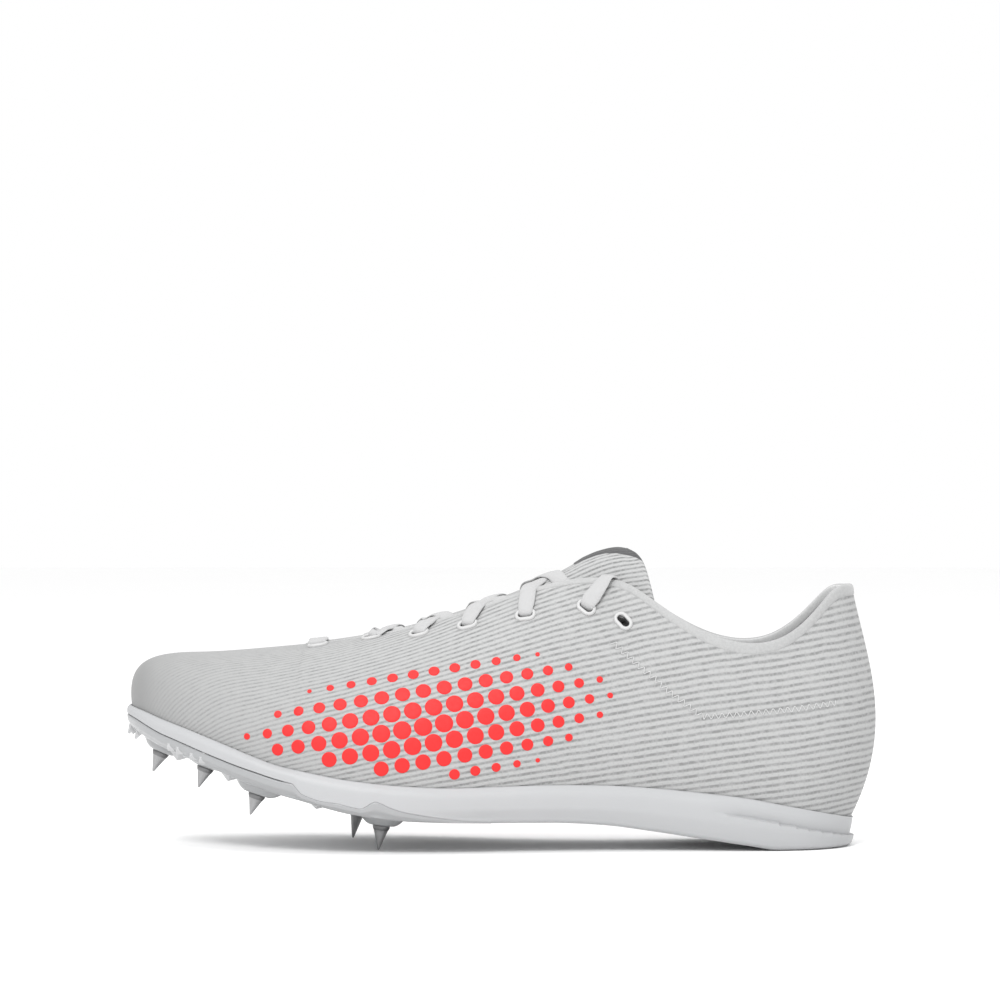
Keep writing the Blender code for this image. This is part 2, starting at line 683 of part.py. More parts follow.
def build_pins():
    for name, x, y, long, wide, high in PINS:
        p, n = plate_slope(x, y)
        start = high + GAP
        reach = PIN_FLANGE_H + PIN_CONE_H - GAP
        if name.startswith("rear"):
            # The rear pins carry the shoe: their tips end on the ground.
            reach = pin_reach_to_ground(p, n, start)
        # Half outline from the tip, which is the top of the pin's own axis, to the stem's end.
        profile = [
            (0.0, start + reach), (PIN_TIP_R * 0.6, start + reach),
            (PIN_TIP_R * 1.5, start + reach - 0.25), (PIN_CONE_R, start + PIN_FLANGE_H),
            (PIN_FLANGE_R - 0.1, start + 1.5), (PIN_FLANGE_R, start),
            (PIN_STEM_R, start), (PIN_STEM_R, stem_start(high)), (0.0, stem_start(high)),
        ]
        bm = bmesh.new()
        line = [bm.verts.new((r * MM, 0, h * MM)) for r, h in profile]
        for a, b in zip(line, line[1:]):
            bm.edges.new((a, b))
        pin = new_object(f"pin_{name}", bm, STEEL, smooth=False)
        turn = pin.modifiers.new("turned", "SCREW")
        turn.axis = "Z"
        turn.angle = 2 * math.pi
        turn.steps = turn.render_steps = 12
        turn.use_merge_vertices = True
        turn.merge_threshold = 0.00001
        turn.use_smooth_shade = False
        pin.location = Vector(p) * MM
        pin.rotation_mode = "QUATERNION"
        pin.rotation_quaternion = Vector(n).to_track_quat("Z", "X")


def pin_reach_to_ground(p, n, start):
    """Length below the boss that brings the lowest point of a tilted pin's tip to z = 0."""
    lean = math.sqrt(max(0.0, 1 - n[2] ** 2))
    return (p[2] - PIN_TIP_R * 0.6 * lean) / -n[2] - start


# ---------------------------------------------------------------- sock liner, tongue
def build_liner():
    ts = spread_sections(27)[1:-1]
    rings = []
    for t in ts:
        sides = []
        for side in (-1, 1):
            inset = UPPER_INSET + WALL + 0.5
            low = GAP + 0.15
            sides.append(
                [
                    dish_point(t, side, -inset - 0.4, low),
                    dish_point(t, side, -inset, low + 0.6),
                    dish_point(t, side, -inset - 0.2, low + LINER_T - 0.5),
                    dish_point(t, side, -inset - 1.0, low + LINER_T),
                ]
            )
        lat, med = sides
        rings.append([*lat, *across(lat[-1], med[-1], 3), *med[::-1], *across(med[0], lat[0], 3)])
    # Both round ends are drawn in clear of the upper.
    bm = loft(rings, True)
    close_and_turn(bm)
    return new_object("sock_liner", bm, LINER)


def smooth_line(points, count):
    """Even resampling of a Catmull-Rom curve through the points."""
    p = np.array(points, float)
    ext = np.vstack([2 * p[0] - p[1], p, 2 * p[-1] - p[-2]])
    dense = []
    for i in range(1, len(ext) - 2):
        for u in np.linspace(0, 1, 12, endpoint=False):
            a, b, c, d = ext[i - 1], ext[i], ext[i + 1], ext[i + 2]
            dense.append(
                0.5 * (2 * b + (c - a) * u + (2 * a - 5 * b + 4 * c - d) * u * u
                       + (3 * b - a - 3 * c + d) * u**3)
            )
    dense.append(ext[-2])
    dense = np.array(dense)
    s = np.concatenate([[0], np.cumsum(np.linalg.norm(np.diff(dense, axis=0), axis=1))])
    q = np.linspace(0, s[-1], count)
    return np.column_stack([np.interp(q, s, dense[:, k]) for k in range(dense.shape[1])])


def v_below_top(t, side, distance):
    """Rib parameter a given distance below the section's top."""
    vs = np.linspace(0.3, 1, 120)
    p = rib(np.full_like(vs, t), side, vs)
    s = np.concatenate([[0], np.cumsum(np.linalg.norm(np.diff(p, axis=0), axis=1))])
    return float(np.interp(max(s[-1] - distance, 0), s, vs))


def tongue_line(row, count):
    """One crosswise line of the tongue's top face, from its outer to its inner edge."""
    x, reach, crown_x, crown_z = row
    t = t_at_x(x, -1)
    under = WALL + 0.6
    sides = []
    for side in (-1, 1):
        pts = []
        for d in (reach, reach * 0.5, 0.0):
            v = v_below_top(t, side, d)
            pts.append(rib(t, side, v) - rib_normal(t, side, min(v, 0.995)) * under)
        sides.append(pts)
    a, b = sides[0][-1], sides[1][-1]
    crown = np.array([crown_x, (a[1] + b[1]) / 2, crown_z])
    if np.linalg.norm(a - b) < 7:
        return smooth_line([*sides[0][:2], crown, *sides[1][:2][::-1]], count)
    shoulders = [
        crown + (edge - crown) * np.array([0.5, 0.58, 0.24]) for edge in (a, b)
    ]
    return smooth_line([*sides[0], shoulders[0], crown, shoulders[1], *sides[1][::-1]], count)


def build_tongue():
    """Thin padded sheet below the facings, that rises free of them over the instep."""
    count = 17
    grid = np.array([tongue_line(row, count) for row in TONGUE_ROWS])
    # Even stations along the tongue.
    rows = np.stack([smooth_line(grid[:, k], 20) for k in range(count)], 1)
    bm = bmesh.new()
    verts = [[bm.verts.new(Vector(p) * MM) for p in row] for row in rows]
    for a, b in zip(verts, verts[1:]):
        for i in range(len(a) - 1):
            bm.faces.new((a[i], a[i + 1], b[i + 1], b[i]))
    bmesh.ops.recalc_face_normals(bm, faces=bm.faces)
    if sum(f.normal.z for f in bm.faces) < 0:
        bmesh.ops.reverse_faces(bm, faces=bm.faces)
    tongue = new_object("tongue", bm, MESH_CLOTH)
    solid = tongue.modifiers.new("thickness", "SOLIDIFY")
    solid.thickness = TONGUE_T * MM
    solid.offset = -1
    return tongue


# ---------------------------------------------------------------- laces
def ribbon(points, normals, width, thick):
    """Flat band along points, its face turned to the normals, as a closed solid."""
    p, n = np.array(points, float), np.array(normals, float)
    d = np.gradient(p, axis=0)
    d /= np.linalg.norm(d, axis=1, keepdims=True)
    n = n - d * np.sum(n * d, axis=1, keepdims=True)
    n /= np.linalg.norm(n, axis=1, keepdims=True)
    e = np.cross(d, n)
    corners = ((-0.5, 0), (-0.42, -0.5), (0.42, -0.5), (0.5, 0), (0.42, 0.5), (-0.42, 0.5))
    rings = [
        [p[i] + e[i] * (a * width) + n[i] * (b * thick) for a, b in corners]
        for i in range(len(p))
    ]
    bm = loft(rings, True)
    close_and_turn(bm)
    return bm


def edge_point(t, side, lift):
    p = rib(t, side, 1.0)
    return p + rib_normal(t, side, 0.99) * lift


def tongue_crown(x):
    rows = TONGUE_ROWS
    return float(np.interp(x, column(rows, TONGUE_ROW, "crown_x"), column(rows, TONGUE_ROW, "crown_z")))


def strand(row_from, row_to, side):
    """Lace from a ring on one side, over the tongue, to the edge of the opposite facing."""
    p, n, d, e = ring_frame(row_from, side)
    t0, v0 = find_on_upper(row_from[0], row_from[1], -1)
    t1, v1 = find_on_upper(row_to[0], row_to[1], -1)
    lift = GAP + RING_T + 0.3 + LACE_T / 2
    near = edge_point(0.7 * t0 + 0.3 * t1, side, 1.5)
    far_t = 0.25 * t0 + 0.75 * t1
    far = edge_point(far_t, -side, 0.0)
    across_way = edge_point(far_t, side, 0.0) - far
    far = far + across_way / np.linalg.norm(across_way) * 3.4
    far[2] += 0.5 * (tongue_crown(far[0]) - far[2]) + 0.1
    mid = (edge_point((t0 + t1) / 2, -1, 0) + edge_point((t0 + t1) / 2, 1, 0)) / 2
    over = 0.9 if side > 0 else 0.0  # one strand passes over the other
    slope = (tongue_crown(mid[0] + 3) - tongue_crown(mid[0] - 3)) / 6
    up = np.array([-slope, 0, 1.0])
    mid[2] = tongue_crown(mid[0])
    mid = mid + up * (1.7 + over)
    m = rib_normal(far_t, -side, 0.98)
    pts = [p + n * lift, 0.5 * (p + near) + n * (lift + 0.2), near, mid, far]
    nrm = [n, n, 0.6 * n + 0.4 * up, up, 0.6 * m + 0.4 * up]
    return smooth_line(pts, 12), smooth_line(nrm, 12)


def build_laces():
    # The straight bar across the front pair of rings.
    ends = [ring_frame(RINGS[0], side) for side in (-1, 1)]
    lift = GAP + RING_T + 0.3 + LACE_T / 2
    pts = [ends[0][0] + ends[0][1] * lift, (ends[0][0] + ends[1][0]) / 2 + np.array([0, 0, lift + 1.0]), ends[1][0] + ends[1][1] * lift]
    nrm = [ends[0][1], np.array([0, 0, 1.0]), ends[1][1]]
    new_object("lace_bar", ribbon(smooth_line(pts, 9), smooth_line(nrm, 9), LACE_W, LACE_T), LACE)
    for k in range(1, 5):
        straps = []
        for side in (-1, 1):
            line, frames = strand(RINGS[k], RINGS[k + 1], side)
            tool = side > 0
            straps.append(
                new_object(
                    f"lace_cross_{k}" if not tool else f"lace_cross_{k}_second",
                    ribbon(line, frames, LACE_W, LACE_T), LACE, tool=tool,
                )
            )
        join = straps[0].modifiers.new("crossing", "BOOLEAN")
        join.solver = "EXACT"
        join.operation = "UNION"
        join.object = straps[1]
    # The two ends leave the sixth rings, pass over the facings' edges and are tucked in.
    for side, word in ((-1, "outer"), (1, "inner")):
        p, n, d, e = ring_frame(RINGS[5], side)
        t0, v0 = find_on_upper(RINGS[5][0], RINGS[5][1], -1)
        t1 = t_at_x(40.0, -1)
        top = edge_point(t1, side, 1.5)
        inner = np.array([top[0] + 2.0, top[1] - side * 2.6, top[2] + 0.4])
        m = rib_normal(t1, side, 0.98)
        pts = [p + n * lift, 0.5 * (p + top) + n * (lift + 0.3), top, inner]
        nrm = [n, n, m, 0.5 * m + np.array([0, 0, 0.7])]
        new_object(
            f"lace_end_{word}", ribbon(smooth_line(pts, 9), smooth_line(nrm, 9), LACE_W, LACE_T), LACE
        )


upper = build_upper()
punch_lace_holes(upper)
build_rings()
build_midsole()
build_plate()
build_pins()
build_liner()
build_tongue()
build_laces()

for obj in bpy.data.objects:
    obj.location += Vector((ROW_SHIFT_X, ROW_SHIFT_Y, 0.0)) * MM
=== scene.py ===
import math
import random

import bmesh
import bpy
import numpy as np
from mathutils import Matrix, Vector
from mathutils.bvhtree import BVHTree


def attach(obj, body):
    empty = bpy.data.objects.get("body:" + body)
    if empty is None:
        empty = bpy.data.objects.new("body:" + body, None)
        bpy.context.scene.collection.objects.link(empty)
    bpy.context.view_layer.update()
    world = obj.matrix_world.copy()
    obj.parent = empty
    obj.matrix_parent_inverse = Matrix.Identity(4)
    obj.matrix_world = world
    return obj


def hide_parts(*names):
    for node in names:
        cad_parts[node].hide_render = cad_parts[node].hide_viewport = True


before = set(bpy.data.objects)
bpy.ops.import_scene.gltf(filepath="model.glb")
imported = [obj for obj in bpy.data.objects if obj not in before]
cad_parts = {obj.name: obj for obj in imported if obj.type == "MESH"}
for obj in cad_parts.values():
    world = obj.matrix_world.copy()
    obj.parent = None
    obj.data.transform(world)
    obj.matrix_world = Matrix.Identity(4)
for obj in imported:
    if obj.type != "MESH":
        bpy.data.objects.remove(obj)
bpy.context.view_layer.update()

RNG = random.Random(7)

# ---------------------------------------------------------------- named sizes, mm
MM = 0.001
ROW_SHIFT_X, ROW_SHIFT_Y = -0.058, -0.312  # brings the bounding box's middle to x = y = 0
GAP = 0.3  # clearance between pieces that touch in the real shoe
WALL = 1.8  # mesh, foam and lining of the upper
RIM_DEPTH = 2.5  # how deep the upper and sock liner sit inside the midsole's rim
RIM_EDGE = 0.5  # thickness of the rim at its very top
UPPER_INSET = 0.8  # upper's outer face, in from the midsole's rim
SHOULDER = 2.0  # how far the midsole swells out below its rim
LINER_T = 3.0
TONGUE_T = 2.6
PLATE_FLOOR = 1.6  # thickness of the spike plate's floor
PLATE_WALL = 2.6  # width of the plate's standing edge
PLATE_REAR_X = -4.0
HEEL_FLAT_FRONT = 103.0  # the heel is flat from here back
LACE_W, LACE_T = 6.0, 1.1
RING_L, RING_W, RING_T = 8.0, 5.6, 0.9  # moulded lace ring
SLOT_L, SLOT_W = 5.4, 2.7  # its slot
HOLE_L, HOLE_W = 6.0, 3.3  # the punched hole behind it
THROAT_FRONT_X, THROAT_ROUND = -73.0, 10.0
PIN_FLANGE_R, PIN_FLANGE_H = 3.2, 2.2
PIN_CONE_R, PIN_TIP_R, PIN_CONE_H = 2.7, 0.35, 6.0
PIN_STEM_R, PIN_STEM_H = 2.0, 3.4

# ---------------------------------------------------------------- the last, by section
# One row for each section, from the back of the heel to the tip of the toe.
# feather: where upper and midsole meet, seen from above, for each side.
# top: the end of the section, on the collar, the throat's edge or the crown.
# flare: outward angle from vertical at the feather. lean: slope at the top.
# low, high: how far each end's direction reaches.
SECTION = (
    "name",
    "lat_x", "lat_y", "med_x", "med_y",
    "top_x", "mid_y", "half", "top_z",
    "flare", "lean", "low", "high",
)
SECTIONS = [
    ("heel_back",    132.4,   0.0,  132.4,  0.0,  131.9, 0.0,  0.0, 97.2, 27, 79, .45, .33),
    ("heel_round_a", 130.3,  -9.8,  130.3,  9.8,  129.8, 0.0,  8.4, 97.0, 26, 79, .44, .33),
    ("heel_round_b", 125.0, -17.8,  125.0, 17.8,  124.8, 0.0, 15.0, 95.6, 25, 80, .42, .33),
    ("heel_round_c", 116.5, -24.8,  116.5, 24.6,  116.4, 0.0, 21.0, 87.2, 23, 80, .38, .33),
    ("heel_side",    102.0, -29.0,  102.0, 28.4,  102.6, 0.0, 26.4, 77.4, 20, 80, .35, .33),
    ("quarter",       82.0, -30.8,   82.0, 28.0,   81.0, 0.0, 28.0, 78.0, 18, 76, .33, .33),
    ("waist_rear",    60.0, -31.8,   60.0, 25.6,   58.0, 0.0, 22.8, 90.8, 15, 64, .34, .34),
    ("facing_top",    46.0, -33.2,   46.0, 24.0,   45.0, 0.0, 17.0, 98.6, 13, 56, .34, .35),
    ("waist",         36.0, -34.6,   36.0, 23.6,   34.5, 0.3, 15.0, 100.0, 12, 48, .35, .36),
    ("waist_front",   16.0, -38.0,   16.0, 26.2,   14.0, 1.0, 13.6, 96.6, 12, 36, .38, .38),
    ("instep",        -8.0, -41.6,   -8.0, 33.0,  -10.0, 2.0, 12.4, 88.6, 12, 26, .42, .42),
    ("ball_rear",    -34.0, -44.5,  -34.0, 40.4,  -36.0, 3.0, 10.4, 81.0, 14, 14, .50, .48),
    ("ball_front",   -58.0, -44.5,  -60.0, 44.8,  -60.0, 4.0,  7.6, 76.6, 15,  5, .55, .50),
    ("toe_rear",     -84.0, -39.6,  -88.0, 44.8,  -80.0, 4.8,  6.6, 74.3, 14,  0, .62, .55),
    ("toe_mid",     -107.0, -29.6, -112.0, 38.6,  -97.0, 5.8,  5.0, 72.7, 10,  0, .72, .62),
    ("toe_round",   -126.4, -15.9, -130.0, 27.8, -107.0, 6.8,  3.0, 72.0,  8,  0, .80, .70),
    ("toe_front",   -136.5,  -3.1, -137.7, 18.1, -111.0, 7.4,  1.2, 71.9,  7,  0, .84, .75),
    ("toe_tip",     -139.7,   8.2, -139.7,  8.2, -112.0, 7.6,  0.0, 71.9,  7,  0, .85, .76),
]
# Heights along the shoe: the midsole's rim, and the sole's underside at its edge.
HEIGHT = ("x", "rim", "base")
HEIGHTS = [
    (-142, 52.6, 45.8), (-134, 50.6, 41.3), (-126, 47.9, 37.4), (-118, 45.3, 34.5),
    (-110, 42.5, 31.5), (-100, 38.8, 27.9), (-91, 35.4, 24.5), (-82, 32.3, 21.6),
    (-73, 30.3, 19.2), (-54, 26.8, 14.3), (-36, 24.9, 11.9), (-18, 24.0, 11.1),
    (0, 24.4, 10.9), (18, 24.8, 10.8), (37, 24.5, 9.8), (55, 23.4, 7.4),
    (74, 21.5, 4.4), (92, 19.2, 1.6), (103, 17.0, 0.0), (118, 13.9, 0.0),
    (134, 10.2, 0.0),
]
# The plate's standing edge: its height above the sole's underside.
EDGE = ("x", "height")
EDGES = [
    (-142, 3.9), (-134, 5.6), (-127, 5.8), (-118, 5.7), (-100, 5.45), (-88, 5.9),
    (-75.5, 5.9), (-71.8, 3.0), (-66, 2.4), (-58, 3.2), (-51, 2.9), (-45, 6.4),
    (-40, 4.8), (-33, 3.3), (-25, 2.6), (-12, 2.4), (0, 2.2),
]
# Lace rings, front to back: place on the outer side, and the slot's turn in degrees.
RING = ("x", "z", "turn")
RINGS = [
    (-68.0, 75.0, 0), (-48.0, 78.0, -8), (-30.3, 79.7, -10), (-12.2, 83.0, -8),
    (9.3, 86.6, 0), (31.9, 89.4, 48), (45.5, 84.4, 52),
]
# Pins: the middle of each boss seen from above; every pin stands square to the plate.
PIN = ("name", "x", "y", "boss_long", "boss_wide", "boss_high")
PINS = [
    ("rear_outer", -43.3, -25.0, 8.2, 6.4, 3.4),
    ("rear_inner", -53.7, 27.0, 8.2, 6.4, 3.4),
    ("mid_outer", -88.5, -27.0, 8.8, 6.4, 2.9),
    ("mid_inner", -91.9, 28.0, 8.2, 6.2, 2.9),
    ("front_outer", -109.0, -12.0, 7.6, 6.2, 1.4),
    ("front_inner", -126.1, 2.0, 7.6, 6.2, 3.0),
]
# Small moulded teeth: round the toe's tip, and pyramids between the pins.
TOOTH = ("x", "y", "half_long", "half_wide", "height", "turn")
TEETH = [
    (-138.5, 5.6, 1.7, 1.5, 3.0, 20), (-137.6, 12.4, 1.7, 1.5, 3.0, -20),
    (-135.4, -1.8, 1.7, 1.5, 2.8, 30), (-133.4, 19.5, 1.7, 1.5, 2.8, -30),
    (-119.0, -15.2, 4.2, 2.6, 2.6, 0), (-112.5, 29.5, 3.8, 2.6, 2.4, 0),
    (-99.6, -25.0, 4.0, 2.6, 2.4, 0), (-112.0, 8.5, 3.6, 3.6, 2.2, 45),
    (-98.0, 3.0, 3.6, 3.6, 2.2, 45), (-84.0, 9.0, 3.6, 3.6, 2.2, 45),
    (-84.0, -7.0, 3.6, 3.6, 2.2, 45), (-70.0, 2.0, 3.6, 3.6, 2.2, 45),
    (-76.0, 33.0, 4.0, 2.8, 2.2, 0), (-67.0, -31.0, 4.0, 2.8, 2.0, 0),
    (-56.0, -10.0, 3.6, 3.6, 2.0, 45), (-42.0, 6.0, 3.6, 3.6, 2.0, 45),
]
# Tongue, front to back: the section it is sewn or tucked under, how far below the
# facing's edge its sides reach, and the crown of its top face.
TONGUE_ROW = ("x", "reach", "crown_x", "crown_z")
TONGUE_ROWS = [
    (-84, 13, -84.0, 71.2), (-75, 13, -75.0, 72.4), (-64, 12, -64.0, 74.8),
    (-50, 12, -50.0, 78.2), (-36, 12, -36.0, 81.6), (-22, 12, -22.0, 85.4),
    (-8, 12, -8.0, 89.8), (6, 12, 6.0, 95.0), (18, 12, 17.5, 100.0),
    (29, 12, 26.8, 104.2), (40, 11, 35.4, 108.4), (50, 9, 42.6, 111.0),
    (58, 7, 47.8, 111.7),
]


def column(rows, names, name):
    return np.array([row[names.index(name)] for row in rows], float)


def along(rows, names, name, x):
    """Smooth value of a height table at x: monotone cubic between its rows."""
    xs, ys = column(rows, names, "x"), column(rows, names, name)
    h, d = np.diff(xs), np.diff(ys) / np.diff(xs)
    m = np.zeros(len(xs))
    m[0], m[-1] = d[0], d[-1]
    for i in range(1, len(xs) - 1):
        if d[i - 1] * d[i] > 0:
            w1, w2 = 2 * h[i] + h[i - 1], h[i] + 2 * h[i - 1]
            m[i] = (w1 + w2) / (w1 / d[i - 1] + w2 / d[i])
    x = np.clip(np.asarray(x, float), xs[0], xs[-1])
    i = np.clip(np.searchsorted(xs, x) - 1, 0, len(xs) - 2)
    u = (x - xs[i]) / h[i]
    return (
        ys[i] * (1 + 2 * u) * (1 - u) ** 2
        + h[i] * m[i] * u * (1 - u) ** 2
        + ys[i + 1] * u * u * (3 - 2 * u)
        + h[i] * m[i + 1] * u * u * (u - 1)
    )


def rim_z(x):
    return along(HEIGHTS, HEIGHT, "rim", x)


def base_z(x):
    return np.where(
        np.asarray(x) >= HEEL_FLAT_FRONT, 0.0, along(HEIGHTS, HEIGHT, "base", x)
    )


def edge_top_z(x):
    """Top of the plate's standing edge, where foam and plate part."""
    return base_z(x) + along(EDGES, EDGE, "height", x)


class Loop:
    """Smooth closed curve through rows of values, with one parameter for all columns."""

    def __init__(self, t, values, period):
        n = len(t)
        h = np.diff(np.append(t, t[0] + period))
        a, b = np.zeros((n, n)), np.zeros((n, values.shape[1]))
        for i in range(n):
            before, after = (i - 1) % n, (i + 1) % n
            a[i, before] += h[before]
            a[i, i] += 2 * (h[before] + h[i])
            a[i, after] += h[i]
            b[i] = 6 * (
                (values[after] - values[i]) / h[i]
                - (values[i] - values[before]) / h[before]
            )
        self.t, self.h, self.v, self.m = t, h, values, np.linalg.solve(a, b)
        self.period = period

    def __call__(self, t):
        t = np.mod(np.asarray(t, float), self.period)
        i = np.clip(np.searchsorted(self.t, t, side="right") - 1, 0, len(self.t) - 1)
        k = (i + 1) % len(self.t)
        h, u = self.h[i][..., None], (t - self.t[i])[..., None]
        w = h - u
        return (
            self.m[i] * w**3 / (6 * h)
            + self.m[k] * u**3 / (6 * h)
            + (self.v[i] / h - self.m[i] * h / 6) * w
            + (self.v[k] / h - self.m[k] * h / 6) * u
        )


def section_loop():
    """The sections as one closed curve: outer side from heel to toe, and back along the inner side."""
    col = {name: column(SECTIONS, SECTION, name) for name in SECTION[1:]}
    lat = np.column_stack([col["lat_x"], col["lat_y"]])
    med = np.column_stack([col["med_x"], col["med_y"]])
    step = (
        np.linalg.norm(np.diff(lat, axis=0), axis=1)
        + np.linalg.norm(np.diff(med, axis=0), axis=1)
    ) / 2
    t = np.concatenate([[0], np.cumsum(step)])
    top = t[-1]
    shared = [col[n] for n in ("top_x", "mid_y", "top_z", "flare", "lean", "low", "high")]
    outer = np.column_stack([lat, -col["half"], *shared])
    inner = np.column_stack([med, col["half"], *shared])
    order = range(len(SECTIONS) - 2, 0, -1)
    ts = np.concatenate([t, [2 * top - t[i] for i in order]])
    values = np.vstack([outer, [inner[i] for i in order]])
    return Loop(ts, values, 2 * top), t


LAST, SECTION_T = section_loop()
TOE_T = SECTION_T[-1]


def side_t(t, side):
    """Loop parameter of section t on one side: -1 outer, +1 inner."""
    return t if side < 0 else 2 * TOE_T - t


def outward(t, side):
    """Outward normal: away from the shoe's own middle line."""
    s = side_t(np.asarray(t, float), side)
    d = LAST(s + 0.05)[..., :2] - LAST(s - 0.05)[..., :2]
    # The loop runs heel, outer side, toe, inner side: outward lies on its left hand.
    n = np.stack([d[..., 1], -d[..., 0]], -1)
    return -n / np.linalg.norm(n, axis=-1, keepdims=True)


def throat_open(x):
    """0 where the vamp is closed, rising over a round end to 1 along the throat."""
    u = np.clip((np.asarray(x) - THROAT_FRONT_X) / THROAT_ROUND, 0, 1)
    return np.sqrt(np.clip(1 - (1 - u) ** 2, 0, 1))


def rib(t, side, v):
    """Outer face of the upper on section t: v from 0 at the feather to 1 at the top."""
    t, v = np.broadcast_arrays(np.asarray(t, float), np.asarray(v, float))
    row = LAST(side_t(t, side))
    fx, fy, half, tx, my, tz, flare, lean, low, high = np.moveaxis(row, -1, 0)
    n = outward(t, side)
    f = np.stack([fx, fy], -1) - n * UPPER_INSET
    fz = rim_z(fx)
    top = np.stack([tx, my + half * throat_open(tx)], -1)
    rise = tz - fz
    reach = f - top
    span = np.linalg.norm(reach, axis=-1)
    out = reach + 6 * n
    out = out / np.linalg.norm(out, axis=-1, keepdims=True)
    flare, lean = np.radians(flare), np.radians(np.maximum(lean, 0))
    a, b = low * rise, high * (span * np.cos(lean) + rise * np.sin(lean))
    p0 = np.concatenate([f, fz[..., None]], -1)
    p1 = np.concatenate(
        [f + n * (a * np.sin(flare))[..., None], (fz + a * np.cos(flare))[..., None]], -1
    )
    p2 = np.concatenate(
        [top + out * (b * np.cos(lean))[..., None], (tz - b * np.sin(lean))[..., None]], -1
    )
    p3 = np.concatenate([top, tz[..., None]], -1)
    v = v[..., None]
    return (
        p0 * (1 - v) ** 3
        + 3 * p1 * v * (1 - v) ** 2
        + 3 * p2 * v * v * (1 - v)
        + p3 * v**3
    )


def rib_normal(t, side, v):
    """Outward unit normal of the upper."""
    e = 1e-3
    a = rib(t + 0.2, side, v) - rib(t - 0.2, side, v)
    b = rib(t, side, np.minimum(v + e, 1)) - rib(t, side, np.maximum(v - e, 0))
    n = np.cross(a, b) * side
    return n / np.linalg.norm(n, axis=-1, keepdims=True)


def t_at_x(x, side):
    """Section parameter whose feather point lies at x."""
    ts = np.linspace(2, TOE_T - 2, 2000)
    xs = LAST(side_t(ts, side))[:, 0]
    return float(np.interp(-x, -xs, ts))


FOUND = {}


def find_on_upper(x, z, side):
    """(t, v) of the upper's outer face nearest to a given x and height."""
    if (x, z, side) in FOUND:
        return FOUND[x, z, side]
    ts = np.linspace(SECTION_T[6], SECTION_T[14], 500)
    vs = np.linspace(0.5, 1.0, 260)
    t, v = np.meshgrid(ts, vs, indexing="ij")
    p = rib(t, side, v)
    d = (p[..., 0] - x) ** 2 + (p[..., 2] - z) ** 2
    k = np.unravel_index(np.argmin(d), d.shape)
    FOUND[x, z, side] = float(t[k]), float(v[k])
    return FOUND[x, z, side]


def spread_sections(count, extra=()):
    """Section parameters from heel to toe, closer together at both round ends."""
    u = np.linspace(0, 1, count)
    t = TOE_T * (u - 0.085 * np.sin(2 * np.pi * u) / (2 * np.pi) * 2)
    return np.unique(np.round(np.concatenate([t, extra]), 4))


def oval(long, wide, count):
    """Outline of a round-ended slot."""
    r, straight = wide / 2, (long - wide) / 2
    half = count // 2
    a = [math.pi * (k / (half - 1)) - math.pi / 2 for k in range(half)]
    right = [(straight + r * math.cos(x), r * math.sin(x)) for x in a]
    return right + [(-x, -y) for x, y in right]


def ring_frame(row, side):
    """Place, outward normal and the slot's long and short directions of a lace ring."""
    x, z, turn = row
    t, v = find_on_upper(x, z, -1)
    p, n = rib(t, side, v), rib_normal(t, side, v)
    a = math.radians(turn)
    d = np.array([math.cos(a), 0, -math.sin(a)])
    d = d - n * np.dot(d, n)
    d /= np.linalg.norm(d)
    return p, n, d, np.cross(n, d)


def sole_point(t, side, out, z):
    p = LAST(side_t(t, side))[:2] + outward(t, side) * out
    return np.array([p[0], p[1], z])


def under_point(t, side, out, lift):
    """Point a given height above the sole's underside."""
    p = sole_point(t, side, out, 0.0)
    p[2] = float(base_z(p[0])) + lift
    return p


def dish_point(t, side, out, lift):
    """Point a given height above the floor of the midsole's dish."""
    p = sole_point(t, side, out, 0.0)
    p[2] = float(rim_z(p[0])) - RIM_DEPTH + lift
    return p


def across(a, b, count):
    """Points strictly between a and b."""
    return [a + (b - a) * (k / (count + 1)) for k in range(1, count + 1)]


def shoulder(x):
    """The rim swells less round the back of the heel and round the toe."""
    heel, toe = np.clip((x - 96) / 34, 0, 1), np.clip((-124 - x) / 13, 0, 1)
    return SHOULDER * (1 - 0.85 * heel - 0.5 * toe)


def plate_slope(x, y):
    """Place on the plate's underside, and its downward normal there."""
    z = float(base_z(x))
    dz = float(base_z(x + 2) - base_z(x - 2)) / 4
    n = np.array([dz, 0, -1.0])
    return np.array([x, y, z]), n / np.linalg.norm(n)


def pin_reach_to_ground(p, n, start):
    """Length below the boss that brings the lowest point of a tilted pin's tip to z = 0."""
    lean = math.sqrt(max(0.0, 1 - n[2] ** 2))
    return (p[2] - PIN_TIP_R * 0.6 * lean) / -n[2] - start


def smooth_line(points, count):
    """Even resampling of a Catmull-Rom curve through the points."""
    p = np.array(points, float)
    ext = np.vstack([2 * p[0] - p[1], p, 2 * p[-1] - p[-2]])
    dense = []
    for i in range(1, len(ext) - 2):
        for u in np.linspace(0, 1, 12, endpoint=False):
            a, b, c, d = ext[i - 1], ext[i], ext[i + 1], ext[i + 2]
            dense.append(
                0.5 * (2 * b + (c - a) * u + (2 * a - 5 * b + 4 * c - d) * u * u
                       + (3 * b - a - 3 * c + d) * u**3)
            )
    dense.append(ext[-2])
    dense = np.array(dense)
    s = np.concatenate([[0], np.cumsum(np.linalg.norm(np.diff(dense, axis=0), axis=1))])
    q = np.linspace(0, s[-1], count)
    return np.column_stack([np.interp(q, s, dense[:, k]) for k in range(dense.shape[1])])


def v_below_top(t, side, distance):
    """Rib parameter a given distance below the section's top."""
    vs = np.linspace(0.3, 1, 120)
    p = rib(np.full_like(vs, t), side, vs)
    s = np.concatenate([[0], np.cumsum(np.linalg.norm(np.diff(p, axis=0), axis=1))])
    return float(np.interp(max(s[-1] - distance, 0), s, vs))


